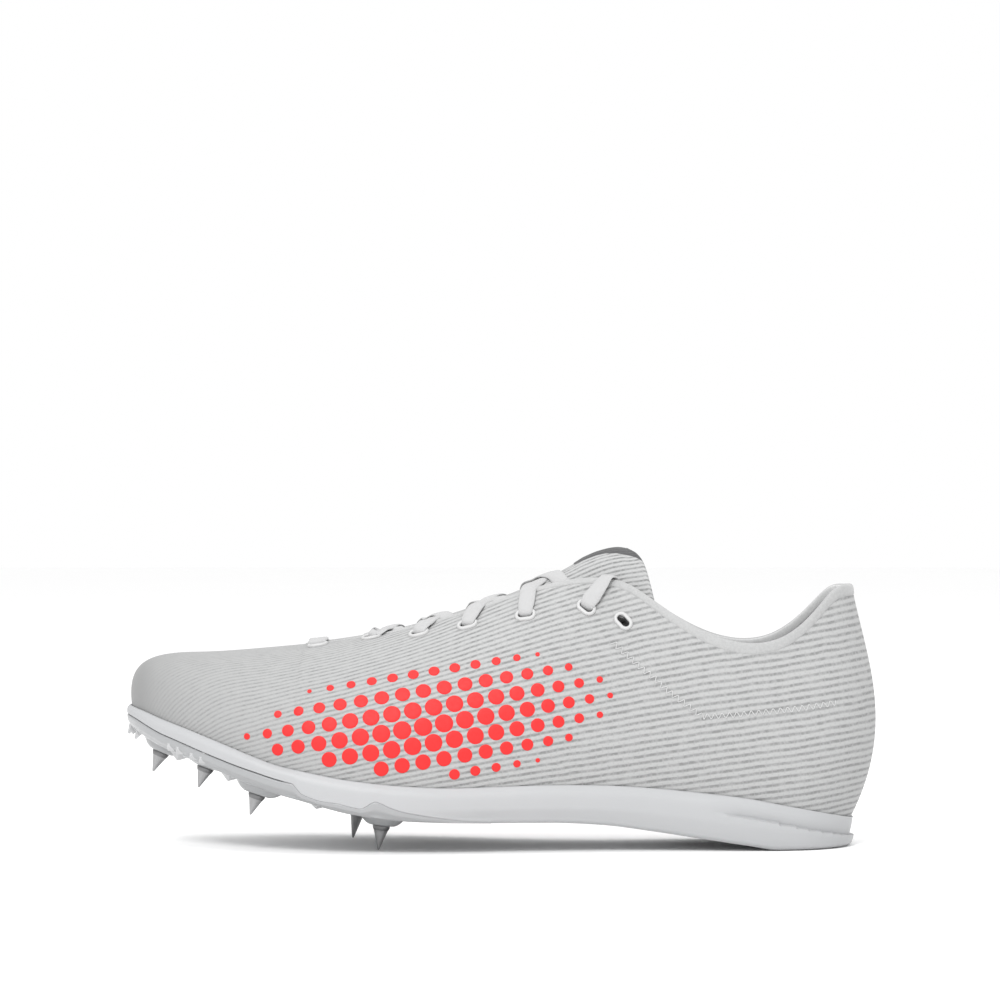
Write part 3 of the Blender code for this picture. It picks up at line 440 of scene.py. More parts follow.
def tongue_line(row, count):
    """One crosswise line of the tongue's top face, from its outer to its inner edge."""
    x, reach, crown_x, crown_z = row
    t = t_at_x(x, -1)
    under = WALL + 0.6
    sides = []
    for side in (-1, 1):
        pts = []
        for d in (reach, reach * 0.5, 0.0):
            v = v_below_top(t, side, d)
            pts.append(rib(t, side, v) - rib_normal(t, side, min(v, 0.995)) * under)
        sides.append(pts)
    a, b = sides[0][-1], sides[1][-1]
    crown = np.array([crown_x, (a[1] + b[1]) / 2, crown_z])
    if np.linalg.norm(a - b) < 7:
        return smooth_line([*sides[0][:2], crown, *sides[1][:2][::-1]], count)
    shoulders = [
        crown + (edge - crown) * np.array([0.5, 0.58, 0.24]) for edge in (a, b)
    ]
    return smooth_line([*sides[0], shoulders[0], crown, shoulders[1], *sides[1][::-1]], count)


def edge_point(t, side, lift):
    p = rib(t, side, 1.0)
    return p + rib_normal(t, side, 0.99) * lift


def tongue_crown(x):
    rows = TONGUE_ROWS
    return float(np.interp(x, column(rows, TONGUE_ROW, "crown_x"), column(rows, TONGUE_ROW, "crown_z")))



# ================================================================ visual model
SHIFT = np.array([ROW_SHIFT_X, ROW_SHIFT_Y, 0.0])
SKIN = 1.5  # visual thickness of the upper


# ---------------------------------------------------------------- materials
class Nodes:
    """Short way to build a node tree."""

    def __init__(self, name):
        self.mat = bpy.data.materials.new(name)
        self.mat.use_nodes = True
        self.tree = self.mat.node_tree
        self.shader = self.tree.nodes["Principled BSDF"]

    def node(self, kind, **values):
        made = self.tree.nodes.new(kind)
        for key, value in values.items():
            setattr(made, key, value)
        return made

    def link(self, a, b):
        self.tree.links.new(a, b)

    def put(self, socket, value):
        if isinstance(value, bpy.types.NodeSocket):
            self.link(value, socket)
        else:
            socket.default_value = value

    def math(self, op, a, b=0.0, clamp=False):
        made = self.node("ShaderNodeMath", operation=op, use_clamp=clamp)
        self.put(made.inputs[0], a)
        self.put(made.inputs[1], b)
        return made.outputs[0]

    def ramp(self, x, low, high, out_low=0.0, out_high=1.0):
        made = self.node("ShaderNodeMapRange", interpolation_type="SMOOTHSTEP")
        self.put(made.inputs["Value"], x)
        made.inputs["From Min"].default_value = low
        made.inputs["From Max"].default_value = high
        made.inputs["To Min"].default_value = out_low
        made.inputs["To Max"].default_value = out_high
        return made.outputs["Result"]

    def attribute(self, name):
        return self.node("ShaderNodeAttribute", attribute_name=name).outputs["Fac"]

    def position(self):
        return self.node("ShaderNodeTexCoord").outputs["Object"]

    def noise(self, scale, detail=2.0, rough=0.5, vector=None):
        made = self.node("ShaderNodeTexNoise")
        self.put(made.inputs["Vector"], vector or self.position())
        made.inputs["Scale"].default_value = scale
        made.inputs["Detail"].default_value = detail
        made.inputs["Roughness"].default_value = rough
        return made.outputs["Fac"]

    def mix(self, fac, a, b):
        made = self.node("ShaderNodeMix", data_type="RGBA")
        self.put(made.inputs["Factor"], fac)
        for socket, value in ((made.inputs[6], a), (made.inputs[7], b)):
            self.put(socket, value if isinstance(value, bpy.types.NodeSocket) else (*value, 1))
        return made.outputs[2]

    def bump(self, height, strength, distance=0.0004, normal=None):
        made = self.node("ShaderNodeBump")
        made.inputs["Strength"].default_value = strength
        made.inputs["Distance"].default_value = distance
        self.put(made.inputs["Height"], height)
        if normal is not None:
            self.put(made.inputs["Normal"], normal)
        return made.outputs["Normal"]

    def finish(self, colour, roughness=0.6, normal=None, metallic=0.0, sheen=0.0, coat=0.0, coat_roughness=0.2, ior=1.5):
        inputs = self.shader.inputs
        self.put(inputs["Base Color"], colour)
        self.put(inputs["Roughness"], roughness)
        inputs["Metallic"].default_value = metallic
        inputs["Sheen Weight"].default_value = sheen
        inputs["Coat Weight"].default_value = coat
        inputs["Coat Roughness"].default_value = coat_roughness
        inputs["IOR"].default_value = ior
        if normal is not None:
            self.put(inputs["Normal"], normal)
        return self.mat


def ribbed(name, light, line, dark=None):
    """Ribbed mesh: dark grooves that follow the rib coordinate, with staggered stitches."""
    n = Nodes(name)
    w, u = n.attribute("rib_w"), n.attribute("rib_u")
    wander = n.math("MULTIPLY", n.math("SUBTRACT", n.noise(110, 2.0), 0.5), 0.34)
    phase = n.math("ADD", w, wander)
    row = n.math("FLOOR", phase)
    frac = n.math("FRACT", phase)
    away = n.math("ABSOLUTE", n.math("SUBTRACT", frac, 0.5))
    groove = n.ramp(away, 0.34, 0.05)
    # Knit stitches: each row is crossed at even steps, half a step off the row beside it.
    cell = n.math("FRACT", n.math("ADD", n.math("DIVIDE", u, 4.3), n.math("ADD", n.math("MULTIPLY", row, 0.5), n.math("MULTIPLY", n.noise(45, 2.0), 1.2))))
    gap = n.ramp(n.math("ABSOLUTE", n.math("SUBTRACT", cell, 0.5)), 0.38, 0.5)
    speckle = n.noise(760, 3.0, 0.65)
    depth = n.math("MULTIPLY", groove, n.math("SUBTRACT", 1.0, n.math("MULTIPLY", gap, 0.4)))
    depth = n.math("MULTIPLY", depth, n.ramp(speckle, 0.3, 0.68, 0.6, 1.1))
    depth = n.math("MULTIPLY", depth, n.ramp(n.noise(240, 2.0), 0.3, 0.66, 0.66, 1.1))
    # Toward the toe the mesh is smooth, so its grooves fade out. There its colour is also darkened, which is painted
    # shade on the toe that faces away from the key light.
    smooth_and_shade = n.attribute("smooth_and_shade")
    plain = n.math("SUBTRACT", 1.0, smooth_and_shade, clamp=True)
    depth = n.math("MULTIPLY", depth, plain, clamp=True)
    fine = n.noise(1500, 2.0, 0.6)
    lively = n.math("ADD", n.math("MULTIPLY", fine, 0.6), n.math("MULTIPLY", n.math("MULTIPLY", gap, plain), 0.3))
    base = n.mix(n.ramp(lively, 0.2, 0.7), tuple(min(1, c * 1.05) for c in light), tuple(c * 0.93 for c in light))
    base = n.mix(smooth_and_shade, base, tuple(c * 0.61 for c in light))
    colour = n.mix(depth, base, line)
    weave = n.math("ADD", n.math("MULTIPLY", depth, -1.0), n.math("MULTIPLY", fine, 0.25))
    knots = n.math("MULTIPLY", n.math("MULTIPLY", gap, plain), -0.16)
    normal = n.bump(n.math("ADD", weave, knots), 0.75, 0.00032)
    # The dark mask lays painted shade over the colour along the tongue's crest.
    if dark is not None:
        mask = n.ramp(n.attribute("dark"), 0.47, 0.55)
        colour = n.mix(mask, colour, dark)
    return n.finish(colour, 0.85, normal, sheen=0.1)


def cloth(name, colour, scale=900, contrast=0.12, rough=0.85, bump=0.5, sheen=0.2):
    n = Nodes(name)
    grain = n.noise(scale, 3.0, 0.6)
    broad = n.noise(60, 2.0)
    mixed = n.math("ADD", n.math("MULTIPLY", grain, 0.7), n.math("MULTIPLY", broad, 0.3))
    shade = n.mix(
        n.ramp(mixed, 0.3, 0.7),
        tuple(c * (1 - contrast) for c in colour),
        tuple(min(1, c * (1 + contrast)) for c in colour),
    )
    return n.finish(shade, rough, n.bump(grain, bump, 0.0003), sheen=sheen)


def plastic(name, colour, rough, grain=700, bump=0.12, coat=0.0, contrast=0.02, broad_scale=35):
    n = Nodes(name)
    fine, broad = n.noise(grain, 3.0, 0.6), n.noise(broad_scale, 2.0)
    shade = n.mix(
        broad, tuple(c * (1 - contrast) for c in colour), tuple(min(1, c * (1 + contrast)) for c in colour)
    )
    return n.finish(shade, n.ramp(fine, 0.2, 0.8, rough - 0.05, rough + 0.06), n.bump(fine, bump, 0.0002), coat=coat)


def lace_material():
    """Flat woven lace: fine slanted threads."""
    n = Nodes("lace_weave")
    s, c = n.attribute("along"), n.attribute("across")
    a = n.math("SINE", n.math("MULTIPLY", n.math("ADD", s, n.math("MULTIPLY", c, 1.2)), 7.5))
    b = n.math("SINE", n.math("MULTIPLY", n.math("SUBTRACT", s, n.math("MULTIPLY", c, 1.2)), 7.5))
    weave = n.math("MULTIPLY", a, b)
    shade = n.mix(n.ramp(weave, -0.8, 0.8), (0.37, 0.37, 0.372), (0.45, 0.45, 0.452))
    return n.finish(shade, 0.75, n.bump(weave, 0.35, 0.00012), sheen=0.15)


def ring_material():
    n = Nodes("ring_shell")
    fine = n.noise(700, 3.0, 0.6)
    # Inside the slot the ring's colour darkens: painted shade in the hole.
    slot_shade = n.attribute("slot_shade")
    shade = n.mix(n.noise(60, 2.0), (0.44, 0.44, 0.44), (0.48, 0.48, 0.48))
    shade = n.mix(n.ramp(slot_shade, 0.1, 0.9), shade, (0.19, 0.19, 0.193))
    return n.finish(shade, n.ramp(fine, 0.2, 0.8, 0.38, 0.5), n.bump(fine, 0.06, 0.0002))


def steel_material():
    n = Nodes("pin_metal")
    grain = n.noise(900, 2.0, 0.5)
    z = n.attribute("seat")
    shade = n.mix(z, (0.32, 0.32, 0.325), (0.15, 0.15, 0.153))
    shade = n.mix(n.math("MULTIPLY", grain, 0.25), shade, (0.45, 0.45, 0.45))
    return n.finish(shade, n.ramp(grain, 0.3, 0.7, 0.34, 0.5), n.bump(grain, 0.2, 0.0001), metallic=0.85)


MAT_UPPER = ribbed("ribbed_mesh", (0.372, 0.374, 0.374), (0.205, 0.207, 0.207))
# The tongue's dark crest colour is the lining's dark colour deepened by painted shade.
MAT_TONGUE = ribbed("ribbed_tongue", (0.375, 0.377, 0.377), (0.19, 0.192, 0.192), dark=(0.07, 0.07, 0.072))
# Light grey lining, made brighter than its own colour: painted light that lifts the shade inside the shoe.
MAT_LINING_LIT = cloth("lining_cloth_lit", (0.70, 0.702, 0.702), 1100, 0.08)
MAT_TONGUE_BACK = cloth("tongue_lining", (0.13, 0.13, 0.133), 1100, 0.2)
MAT_BINDING = cloth("binding_cloth", (0.36, 0.362, 0.362), 1300, 0.08, 0.8, 0.3)
# The teeth are the plate's own material. Their lighter colour is a painted highlight for the light they catch.
MAT_TEETH_LIT = plastic("tooth_shell_lit", (0.43, 0.434, 0.44), 0.4, 500, 0.05)
# A lighter copy of the binding cloth for its inner skirt: painted light that lifts the shade inside the collar.
MAT_BINDING_INSIDE_LIT = cloth("binding_inside_lit", (0.55, 0.553, 0.553), 1300, 0.08, 0.85, 0.3)
MAT_FOAM = plastic("midsole_foam", (0.385, 0.39, 0.398), 0.5, 1100, 0.14)
# The plate is moulded in about the foam's colour. Its darker colour here is painted shade on the low plate and its
# bosses.
MAT_PLATE_SHADED = plastic("plate_shell_shaded", (0.30, 0.305, 0.311), 0.36, 500, 0.05, coat=0.2)
MAT_RING = ring_material()
MAT_LINER = cloth("liner_cloth", (0.17, 0.17, 0.176), 1000, 0.2)
MAT_LACE = lace_material()
MAT_STEEL = steel_material()
MAT_CORAL = plastic("coral_print", (0.66, 0.009, 0.009), 0.62, 900, 0.08, contrast=0.015)
MAT_THREAD = cloth("stitch_thread", (0.50, 0.502, 0.502), 2500, 0.1, 0.7, 0.3)


# ---------------------------------------------------------------- mesh helpers
def piece(name, verts, faces, mats, attrs=None, face_mats=None, nodes=(), sharp=None):
    """A mesh of points in millimetres, riding on the shoe."""
    mesh = bpy.data.meshes.new(name)
    pts = (np.asarray(verts, float).reshape(-1, 3) + SHIFT) * MM
    mesh.from_pydata(pts.tolist(), [], [tuple(int(i) for i in f) for f in faces])
    for key, values in (attrs or {}).items():
        layer = mesh.attributes.new(key, "FLOAT", "POINT")
        layer.data.foreach_set("value", np.asarray(values, np.float32).ravel())
    for mat in mats:
        mesh.materials.append(mat)
    if face_mats is not None:
        mesh.polygons.foreach_set("material_index", np.asarray(face_mats, np.int32))
    mesh.validate()
    mesh.shade_smooth()
    if sharp:
        mesh.set_sharp_from_angle(angle=math.radians(sharp))
    obj = bpy.data.objects.new(name, mesh)
    bpy.context.scene.collection.objects.link(obj)
    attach(obj, "root")
    if nodes:
        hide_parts(*nodes)
    return obj


def grid_faces(rows, cols, wrap_rows=False, wrap_cols=False, base=0, flip=False):
    r = np.arange(rows if wrap_rows else rows - 1)
    c = np.arange(cols if wrap_cols else cols - 1)
    a, b = np.meshgrid(r, c, indexing="ij")
    a2, b2 = (a + 1) % rows, (b + 1) % cols
    quads = np.stack([a * cols + b, a2 * cols + b, a2 * cols + b2, a * cols + b2], -1).reshape(-1, 4)
    if flip:
        quads = quads[:, ::-1]
    return quads + base


def unit(a):
    return a / np.maximum(np.linalg.norm(a, axis=-1, keepdims=True), 1e-9)


def weld(obj, distance):
    bm = bmesh.new()
    bm.from_mesh(obj.data)
    bmesh.ops.remove_doubles(bm, verts=bm.verts, dist=distance * MM)
    bmesh.ops.recalc_face_normals(bm, faces=bm.faces)
    bm.to_mesh(obj.data)
    bm.free()


class Column:
    def __init__(self, t, side, count=90):
        self.t, self.side = np.asarray(t, float), side
        self.v = np.linspace(0, 1, count)
        self.p = rib(self.t[:, None], side, self.v[None, :])
        seg = np.linalg.norm(np.diff(self.p, axis=1), axis=2)
        self.s = np.concatenate([np.zeros((len(self.t), 1)), np.cumsum(seg, 1)], 1)
        self.n = rib_normal(self.t[:, None] + 0 * self.v[None, :], side, np.clip(self.v[None, :], 0.004, 0.996) + 0 * self.t[:, None])

    def below(self, distance):
        """(point, normal) at a distance below the top of every section."""
        distance = np.broadcast_to(distance, self.t.shape)
        pts, nrm = [], []
        for i in range(len(self.t)):
            s = max(self.s[i, -1] - distance[i], 0)
            pts.append([np.interp(s, self.s[i], self.p[i, :, k]) for k in range(3)])
            nrm.append([np.interp(s, self.s[i], self.n[i, :, k]) for k in range(3)])
        return np.array(pts), unit(np.array(nrm))


# ---------------------------------------------------------------- upper
RIB_SLOPE = ("x", "degrees")
RIB_SLOPES = [(-140, 30), (-112, 24), (-96, 17), (-86, 14.5), (-70, 11.5), (-40, 9.5), (0, 8.5), (30, 7.5), (60, 8.5), (100, 7.5), (120, 8.5), (140, 8)]
RIB_PITCHES = [(-140, 1.74), (-90, 1.78), (-60, 1.9), (-26, 2.1), (20, 2.36), (55, 2.52), (76, 2.56), (140, 2.6)]


def rib_phase(col):
    """Rib count along every section. Round the toe the ribs run level with the crown; on the
    flank they rise to the heel and spread apart on the way."""
    s, total = col.s, col.s[:, -1:]
    row = LAST(side_t(col.t, col.side))
    reach = np.stack([row[:, 0] - row[:, 3], row[:, 1] - row[:, 4]], 1)
    sine = np.abs(reach[:, 1]) / np.maximum(np.linalg.norm(reach, axis=1), 1e-6)
    toe = -(total - s) * sine[:, None] / 1.74 - 0.088 * np.clip(col.p[..., 0] + 128, 0, 40)
    ref = np.minimum(20.0, 0.9 * total[:, 0])
    at = np.array([[np.interp(ref[i], s[i], col.p[i, :, k]) for k in (0, 2)] for i in range(len(ref))])
    xs = np.linspace(-150, 150, 601)
    slope = np.tan(np.radians(np.interp(xs, *zip(*RIB_SLOPES))))
    rise = np.concatenate([[0], np.cumsum((slope[1:] + slope[:-1]) / 2 * np.diff(xs))])
    rise = rise - np.interp(0, xs, rise) + 24.0
    flank = s - ref[:, None] + (at[:, 1] - np.interp(at[:, 0], xs, rise))[:, None]
    return toe, flank / np.interp(at[:, 0], *zip(*RIB_PITCHES))[:, None]


def rib_total(col, shift):
    """Toe and flank counts joined where they agree best, with the step between them."""
    toe, flank = rib_phase(col)
    x = col.p[:, 0, 0]
    if shift is None:
        near = (x > -104) & (x < -96)
        shift = float(np.mean((flank - toe)[near][:, len(col.v) // 4 : 3 * len(col.v) // 4]))
    blend = np.clip((x + 116) / 32, 0, 1)[:, None]
    blend = blend * blend * (3 - 2 * blend)
    return (toe + shift) * (1 - blend) + flank * blend, shift


def upper_grid(side, n_t, n_v):
    u = np.linspace(0, 1, n_t)
    t = TOE_T * (u - 0.10 * np.sin(2 * np.pi * u) / (2 * np.pi) * 2)
    return t, np.linspace(0, 1, n_v)


def build_upper_skin():
    n_t, n_v = 340, 64
    t, v = upper_grid(-1, n_t, n_v)
    outer, inner, w_all, u_all, smooth_and_shade_all = [], [], [], [], []
    shift, counts, cols_ = None, {}, {}
    for side in (-1, 1):
        cols_[side] = Column(t, side, n_v)
        counts[side], shift = rib_total(cols_[side], shift)
    crown = (counts[-1][:, -1] + counts[1][:, -1]) / 2
    closed = 1 - throat_open(LAST(side_t(t, -1))[:, 3])
    for side in (-1, 1):
        col = cols_[side]
        pull = (crown - counts[side][:, -1]) * closed
        counts[side] = counts[side] + pull[:, None] * np.clip(col.s / col.s[:, -1:], 0, 1) ** 2
    for side in (-1, 1):
        tt = t if side < 0 else t[-2:0:-1]
        col = Column(tt, side, n_v)
        w = counts[side] if side < 0 else counts[side][-2:0:-1]
        foot = col.p[:, :1] - np.array([0, 0, RIM_DEPTH - GAP])
        inside = np.array([dish_point(a, side, -UPPER_INSET - WALL, GAP)[2] for a in tt])
        foot[:, 0, 2] = np.maximum(foot[:, 0, 2], inside)
        p = np.concatenate([foot, col.p], 1)
        n = np.concatenate([col.n[:, :1] * np.array([1, 1, 0.0]), col.n], 1)
        n = unit(n)
        outer.append(p)
        inner.append(p - n * SKIN)
        w_all.append(np.concatenate([w[:, :1] - 1.0, w], 1))
        seg = np.concatenate([[0], np.cumsum(np.linalg.norm(np.diff(col.p[:, n_v // 2], axis=0), axis=1))])
        u_all.append(np.repeat((seg if side < 0 else 1000 + seg[-1] - seg)[:, None], n_v + 1, 1))
        # How smooth the mesh is toward the toe, and how much painted shade darkens its colour there.
        smooth_and_shade_all.append(np.interp(p[..., 0], [-134, -128, -118, -100, -60, -10], [1.0, 0.72, 0.5, 0.36, 0.16, 0.0]))
    P = np.concatenate(outer)
    Q = np.concatenate(inner)
    rows, cols = P.shape[:2]
    W, U, S = (np.concatenate(a) for a in (w_all, u_all, smooth_and_shade_all))
    verts = np.concatenate([P.reshape(-1, 3), Q.reshape(-1, 3)])
    out_f = grid_faces(rows, cols, wrap_rows=True)
    in_f = grid_faces(rows, cols, wrap_rows=True, base=rows * cols, flip=True)
    # Holes for the laces.
    centre = P.reshape(-1, 3)[out_f].mean(1)
    keep = np.ones(len(out_f), bool)
    for row in RINGS:
        for side in (-1, 1):
            p, n, d, e = ring_frame(row, side)
            q = centre - p
            a, b, h = q @ d, q @ e, q @ n
            keep &= ~((np.abs(h) < 3) & ((a / (SLOT_L / 2 + 0.55)) ** 2 + (b / (SLOT_W / 2 + 0.55)) ** 2 < 1))
    out_f, in_f = out_f[keep], in_f[keep]
    # Top and bottom edges join the two faces.
    seam = []
    for j in (0, cols - 1):
        i = np.arange(rows)
        k = (i + 1) % rows
        q = np.stack([i * cols + j, k * cols + j, k * cols + j + rows * cols, i * cols + j + rows * cols], 1)
        seam.append(q if j else q[:, ::-1])
    faces = np.concatenate([out_f, in_f, *seam])
    mats = np.concatenate([np.zeros(len(out_f)), np.ones(len(in_f)), np.ones(len(seam[0])), np.zeros(len(seam[1]))]).astype(int)
    attrs = {
        "rib_w": np.concatenate([W.ravel(), W.ravel()]),
        "rib_u": np.concatenate([U.ravel(), U.ravel()]),
        "smooth_and_shade": np.concatenate([S.ravel(), S.ravel()]),
    }
    obj = piece("upper_skin", verts, faces, [MAT_UPPER, MAT_LINING_LIT], attrs, mats, ["upper"])
    weld(obj, 0.01)
    return P, out_f


def tree_of(points, faces):
    return BVHTree.FromPolygons([Vector(p) for p in points.reshape(-1, 3)], [tuple(int(i) for i in f) for f in faces])


def on_side(tree, x, z, side):
    """(point, normal) where a line across the shoe first meets its outer or inner side."""
    hit, normal, _, _ = tree.ray_cast(Vector((x, side * 90.0, z)), Vector((0, -side, 0)))
    if hit is None:
        return None, None
    normal = np.array(normal)
    if normal[1] * side < 0:
        normal = -normal
    return np.array(hit), normal


# ---------------------------------------------------------------- binding round throat and collar
def build_binding():
    front = t_at_top(THROAT_FRONT_X)
    u = np.linspace(0, 1, 260)
    t = front * (1 - (1 - u) ** 1.6 * 0) * (1 - u)
    t = front - (front) * u  # from the throat's front to the heel
    near = front - np.array([0.0, 0.05, 0.15, 0.35, 0.7, 1.2, 2.0, 3.0, 4.4])
    t = np.unique(np.concatenate([t, near]))[::-1]
    rings, along_all = [], []
    for side in (-1, 1):
        tt = t if side < 0 else t[-2:0:-1]
        tt = np.clip(tt, 0.0, TOE_T)
        col = Column(tt, side)
        top_x = LAST(side_t(tt, side))[:, 3]
        wide = np.interp(top_x, [-75, -60, 10, 40, 60], [1.3, 1.5, 1.9, 2.8, 3.6])
        E, N = col.below(0.0)
        A1, N1 = col.below(wide)
        A2, N2 = col.below(wide * 0.86)
        A3, N3 = col.below(wide * 0.4)
        A4, _ = col.below(0.8)
        T = unit(E - A4)
        fat = np.interp(top_x, [-75, 10, 60], [0.55, 0.7, 1.0])[:, None]
        ring = [
            A1 + N1 * 0.02, A2 + N2 * 0.36 * fat, A3 + N3 * 0.55 * fat, E + N * 0.40 * fat + T * 0.35 * fat,
            E - N * (SKIN / 2) + T * 0.8 * fat, E - N * (SKIN + 0.40 * fat) + T * 0.35 * fat,
            A3 - N3 * (SKIN + 0.55 * fat), A2 - N2 * (SKIN + 0.36 * fat), A1 - N1 * (SKIN + 0.02),
        ]
        rings.append(np.stack(ring, 1))
    R = np.concatenate(rings)
    R = refine(R)
    rows, cols = R.shape[:2]
    faces = grid_faces(rows, cols, wrap_rows=False)
    # The binding's inner skirt takes the lighter copy of its cloth: painted light.
    inside = ((faces % cols).min(1) >= 0.55 * cols).astype(int)
    obj = piece("collar_binding", R, faces, [MAT_BINDING, MAT_BINDING_INSIDE_LIT], None, inside)
    weld(obj, 0.005)


def refine(R):
    """Smooths every row of points once by corner cutting, keeping its two ends."""
    a, b = R[:, :-1], R[:, 1:]
    mid = np.stack([a * 0.75 + b * 0.25, a * 0.25 + b * 0.75], 2).reshape(len(R), -1, 3)
    return np.concatenate([R[:, :1], mid, R[:, -1:]], 1)


def t_at_top(x):
    """Section whose top lies at x."""
    ts = np.linspace(0.5, TOE_T, 3000)
    return float(np.interp(-x, -LAST(ts)[:, 3], ts))


# ---------------------------------------------------------------- tongue
CREST = ("x", "z")
CRESTS = [(27.5, 104.6), (31.6, 106.7), (35.6, 108.2), (39.5, 109.1), (43.4, 109.2), (47.3, 108.5), (49.9, 107.9), (51.8, 107.1), (53.5, 105.9), (54.4, 108.5), (56, 114)]


def build_tongue_skin():
    count, n_rows = 81, 170
    grid = np.array([tongue_line(row, count) for row in TONGUE_ROWS])
    top = np.stack([smooth_line(grid[:, k], n_rows) for k in range(count)], 1)
    full = np.clip((top[..., 2] - 97) / 9, 0, 1)
    top[..., 2] += np.interp(top[..., 0], [18, 25, 31, 36, 41, 45, 48, 53], [0, 0.7, 1.25, 1.1, 0.6, 0.0, -0.75, -0.2]) * full
    du, dv = np.gradient(top, axis=0), np.gradient(top, axis=1)
    nrm = unit(np.cross(du, dv))
    if nrm[:, :, 2].mean() < 0:
        nrm = -nrm
    seg = np.linalg.norm(np.diff(top, axis=0), axis=2)
    cross = np.concatenate([np.zeros((n_rows, 1)), np.cumsum(np.linalg.norm(np.diff(top, axis=1), axis=2), 1)], 1)
    cross = cross - cross[:, count // 2 : count // 2 + 1]

    def crest_shade(p):
        """Above one half inside the dark band that crowns the tongue's end: the lining's own dark colour, deepened by
        painted shade where the lining shows over the top.
        """
        low = np.interp(p[..., 0], *zip(*CRESTS), left=120)
        return np.clip((p[..., 2] - low) / 1.6, -1, 1) * 0.5 + 0.5

    dark = crest_shade(top)
    lift = np.clip((dark - 0.5) * 5, 0, 1) * 0.25
    face = top + nrm * (lift - 0.2)[..., None]
    thick = TONGUE_T - 0.5
    back = top - nrm * thick
    rows = []
    for k in range(n_rows):
        a, b = face[k], back[k]
        mid_l, mid_r = (a[0] + b[0]) / 2, (a[-1] + b[-1]) / 2
        out_l, out_r = unit(a[0] - a[1]), unit(a[-1] - a[-2])
        rows.append(np.concatenate([a, [mid_r + out_r * 0.9], b[::-1], [mid_l + out_l * 0.9]]))
    # Rounded top edge.
    step = unit(top[-1] - top[-3])
    last = rows[-1]
    centre = (face[-1] + back[-1]) / 2
    full = np.concatenate([centre, [centre[-1]], centre[::-1], [centre[0]]])
    way = np.concatenate([step, [step[-1]], step[::-1], [step[0]]])
    for out, keep in ((0.55, 0.88), (0.95, 0.6), (1.12, 0.25), (1.15, 0.0)):
        rows.append(full + (last - full) * keep + way * out)
    R = np.array(rows)
    extra = len(rows) - n_rows
    u_top = np.cumsum(np.concatenate([np.zeros((1, count)), seg], 0), 0)

    def spread(a):
        a = np.concatenate([a, np.repeat(a[-1:], extra, 0)], 0)
        return np.concatenate([a, a[:, -1:], a[:, ::-1], a[:, :1]], 1)

    cols = R.shape[1]
    faces = grid_faces(len(R), cols, wrap_cols=True)
    cap = np.arange(cols)
    c = faces % cols
    back_side = (c.min(1) >= count) & (c.max(1) < cols)
    obj = piece(
        "tongue_skin", R, [*faces, cap], [MAT_TONGUE, MAT_TONGUE_BACK],
        {"rib_w": spread(cross / 1.9 + 150), "rib_u": spread(u_top), "smooth_and_shade": np.zeros(R.shape[:2]), "dark": crest_shade(R)},
        np.concatenate([back_side.astype(int), [0]]), ["tongue"],
    )
    weld(obj, 0.01)
    return tree_of(face, grid_faces(n_rows, count))


# ---------------------------------------------------------------- sole
def chaikin(ring, times, pinned=()):
    """Closed ring with its corners cut, the same number of points for every ring."""
    for _ in range(times):
        nxt = np.roll(ring, -1, axis=0)
        ring = np.stack([ring * 0.75 + nxt * 0.25, ring * 0.25 + nxt * 0.75], 1).reshape(-1, 3)
    return ring


GROOVE_X = [76, 82, 99.8, 113.4, 122.9, 131, 134]
GROOVE_Z = [14.6, 13.6, 10.5, 7.7, 5.8, 4.0, 3.8]


def edge_seen(x):
    """Top of the plate's edge as seen: it runs out into the midsole behind the rear pins."""
    base, x = base_z(x), np.asarray(x, float)
    u = np.clip((x + 32) / 27, 0, 1)
    return base + (edge_top_z(x) - base) * (1 - 0.8 * u * u * (3 - 2 * u))


def seam_gap(x):
    """Open seam above the plate round the toe, closed behind it."""
    return float(np.interp(x, [-80, -74], [GAP, -0.25]))


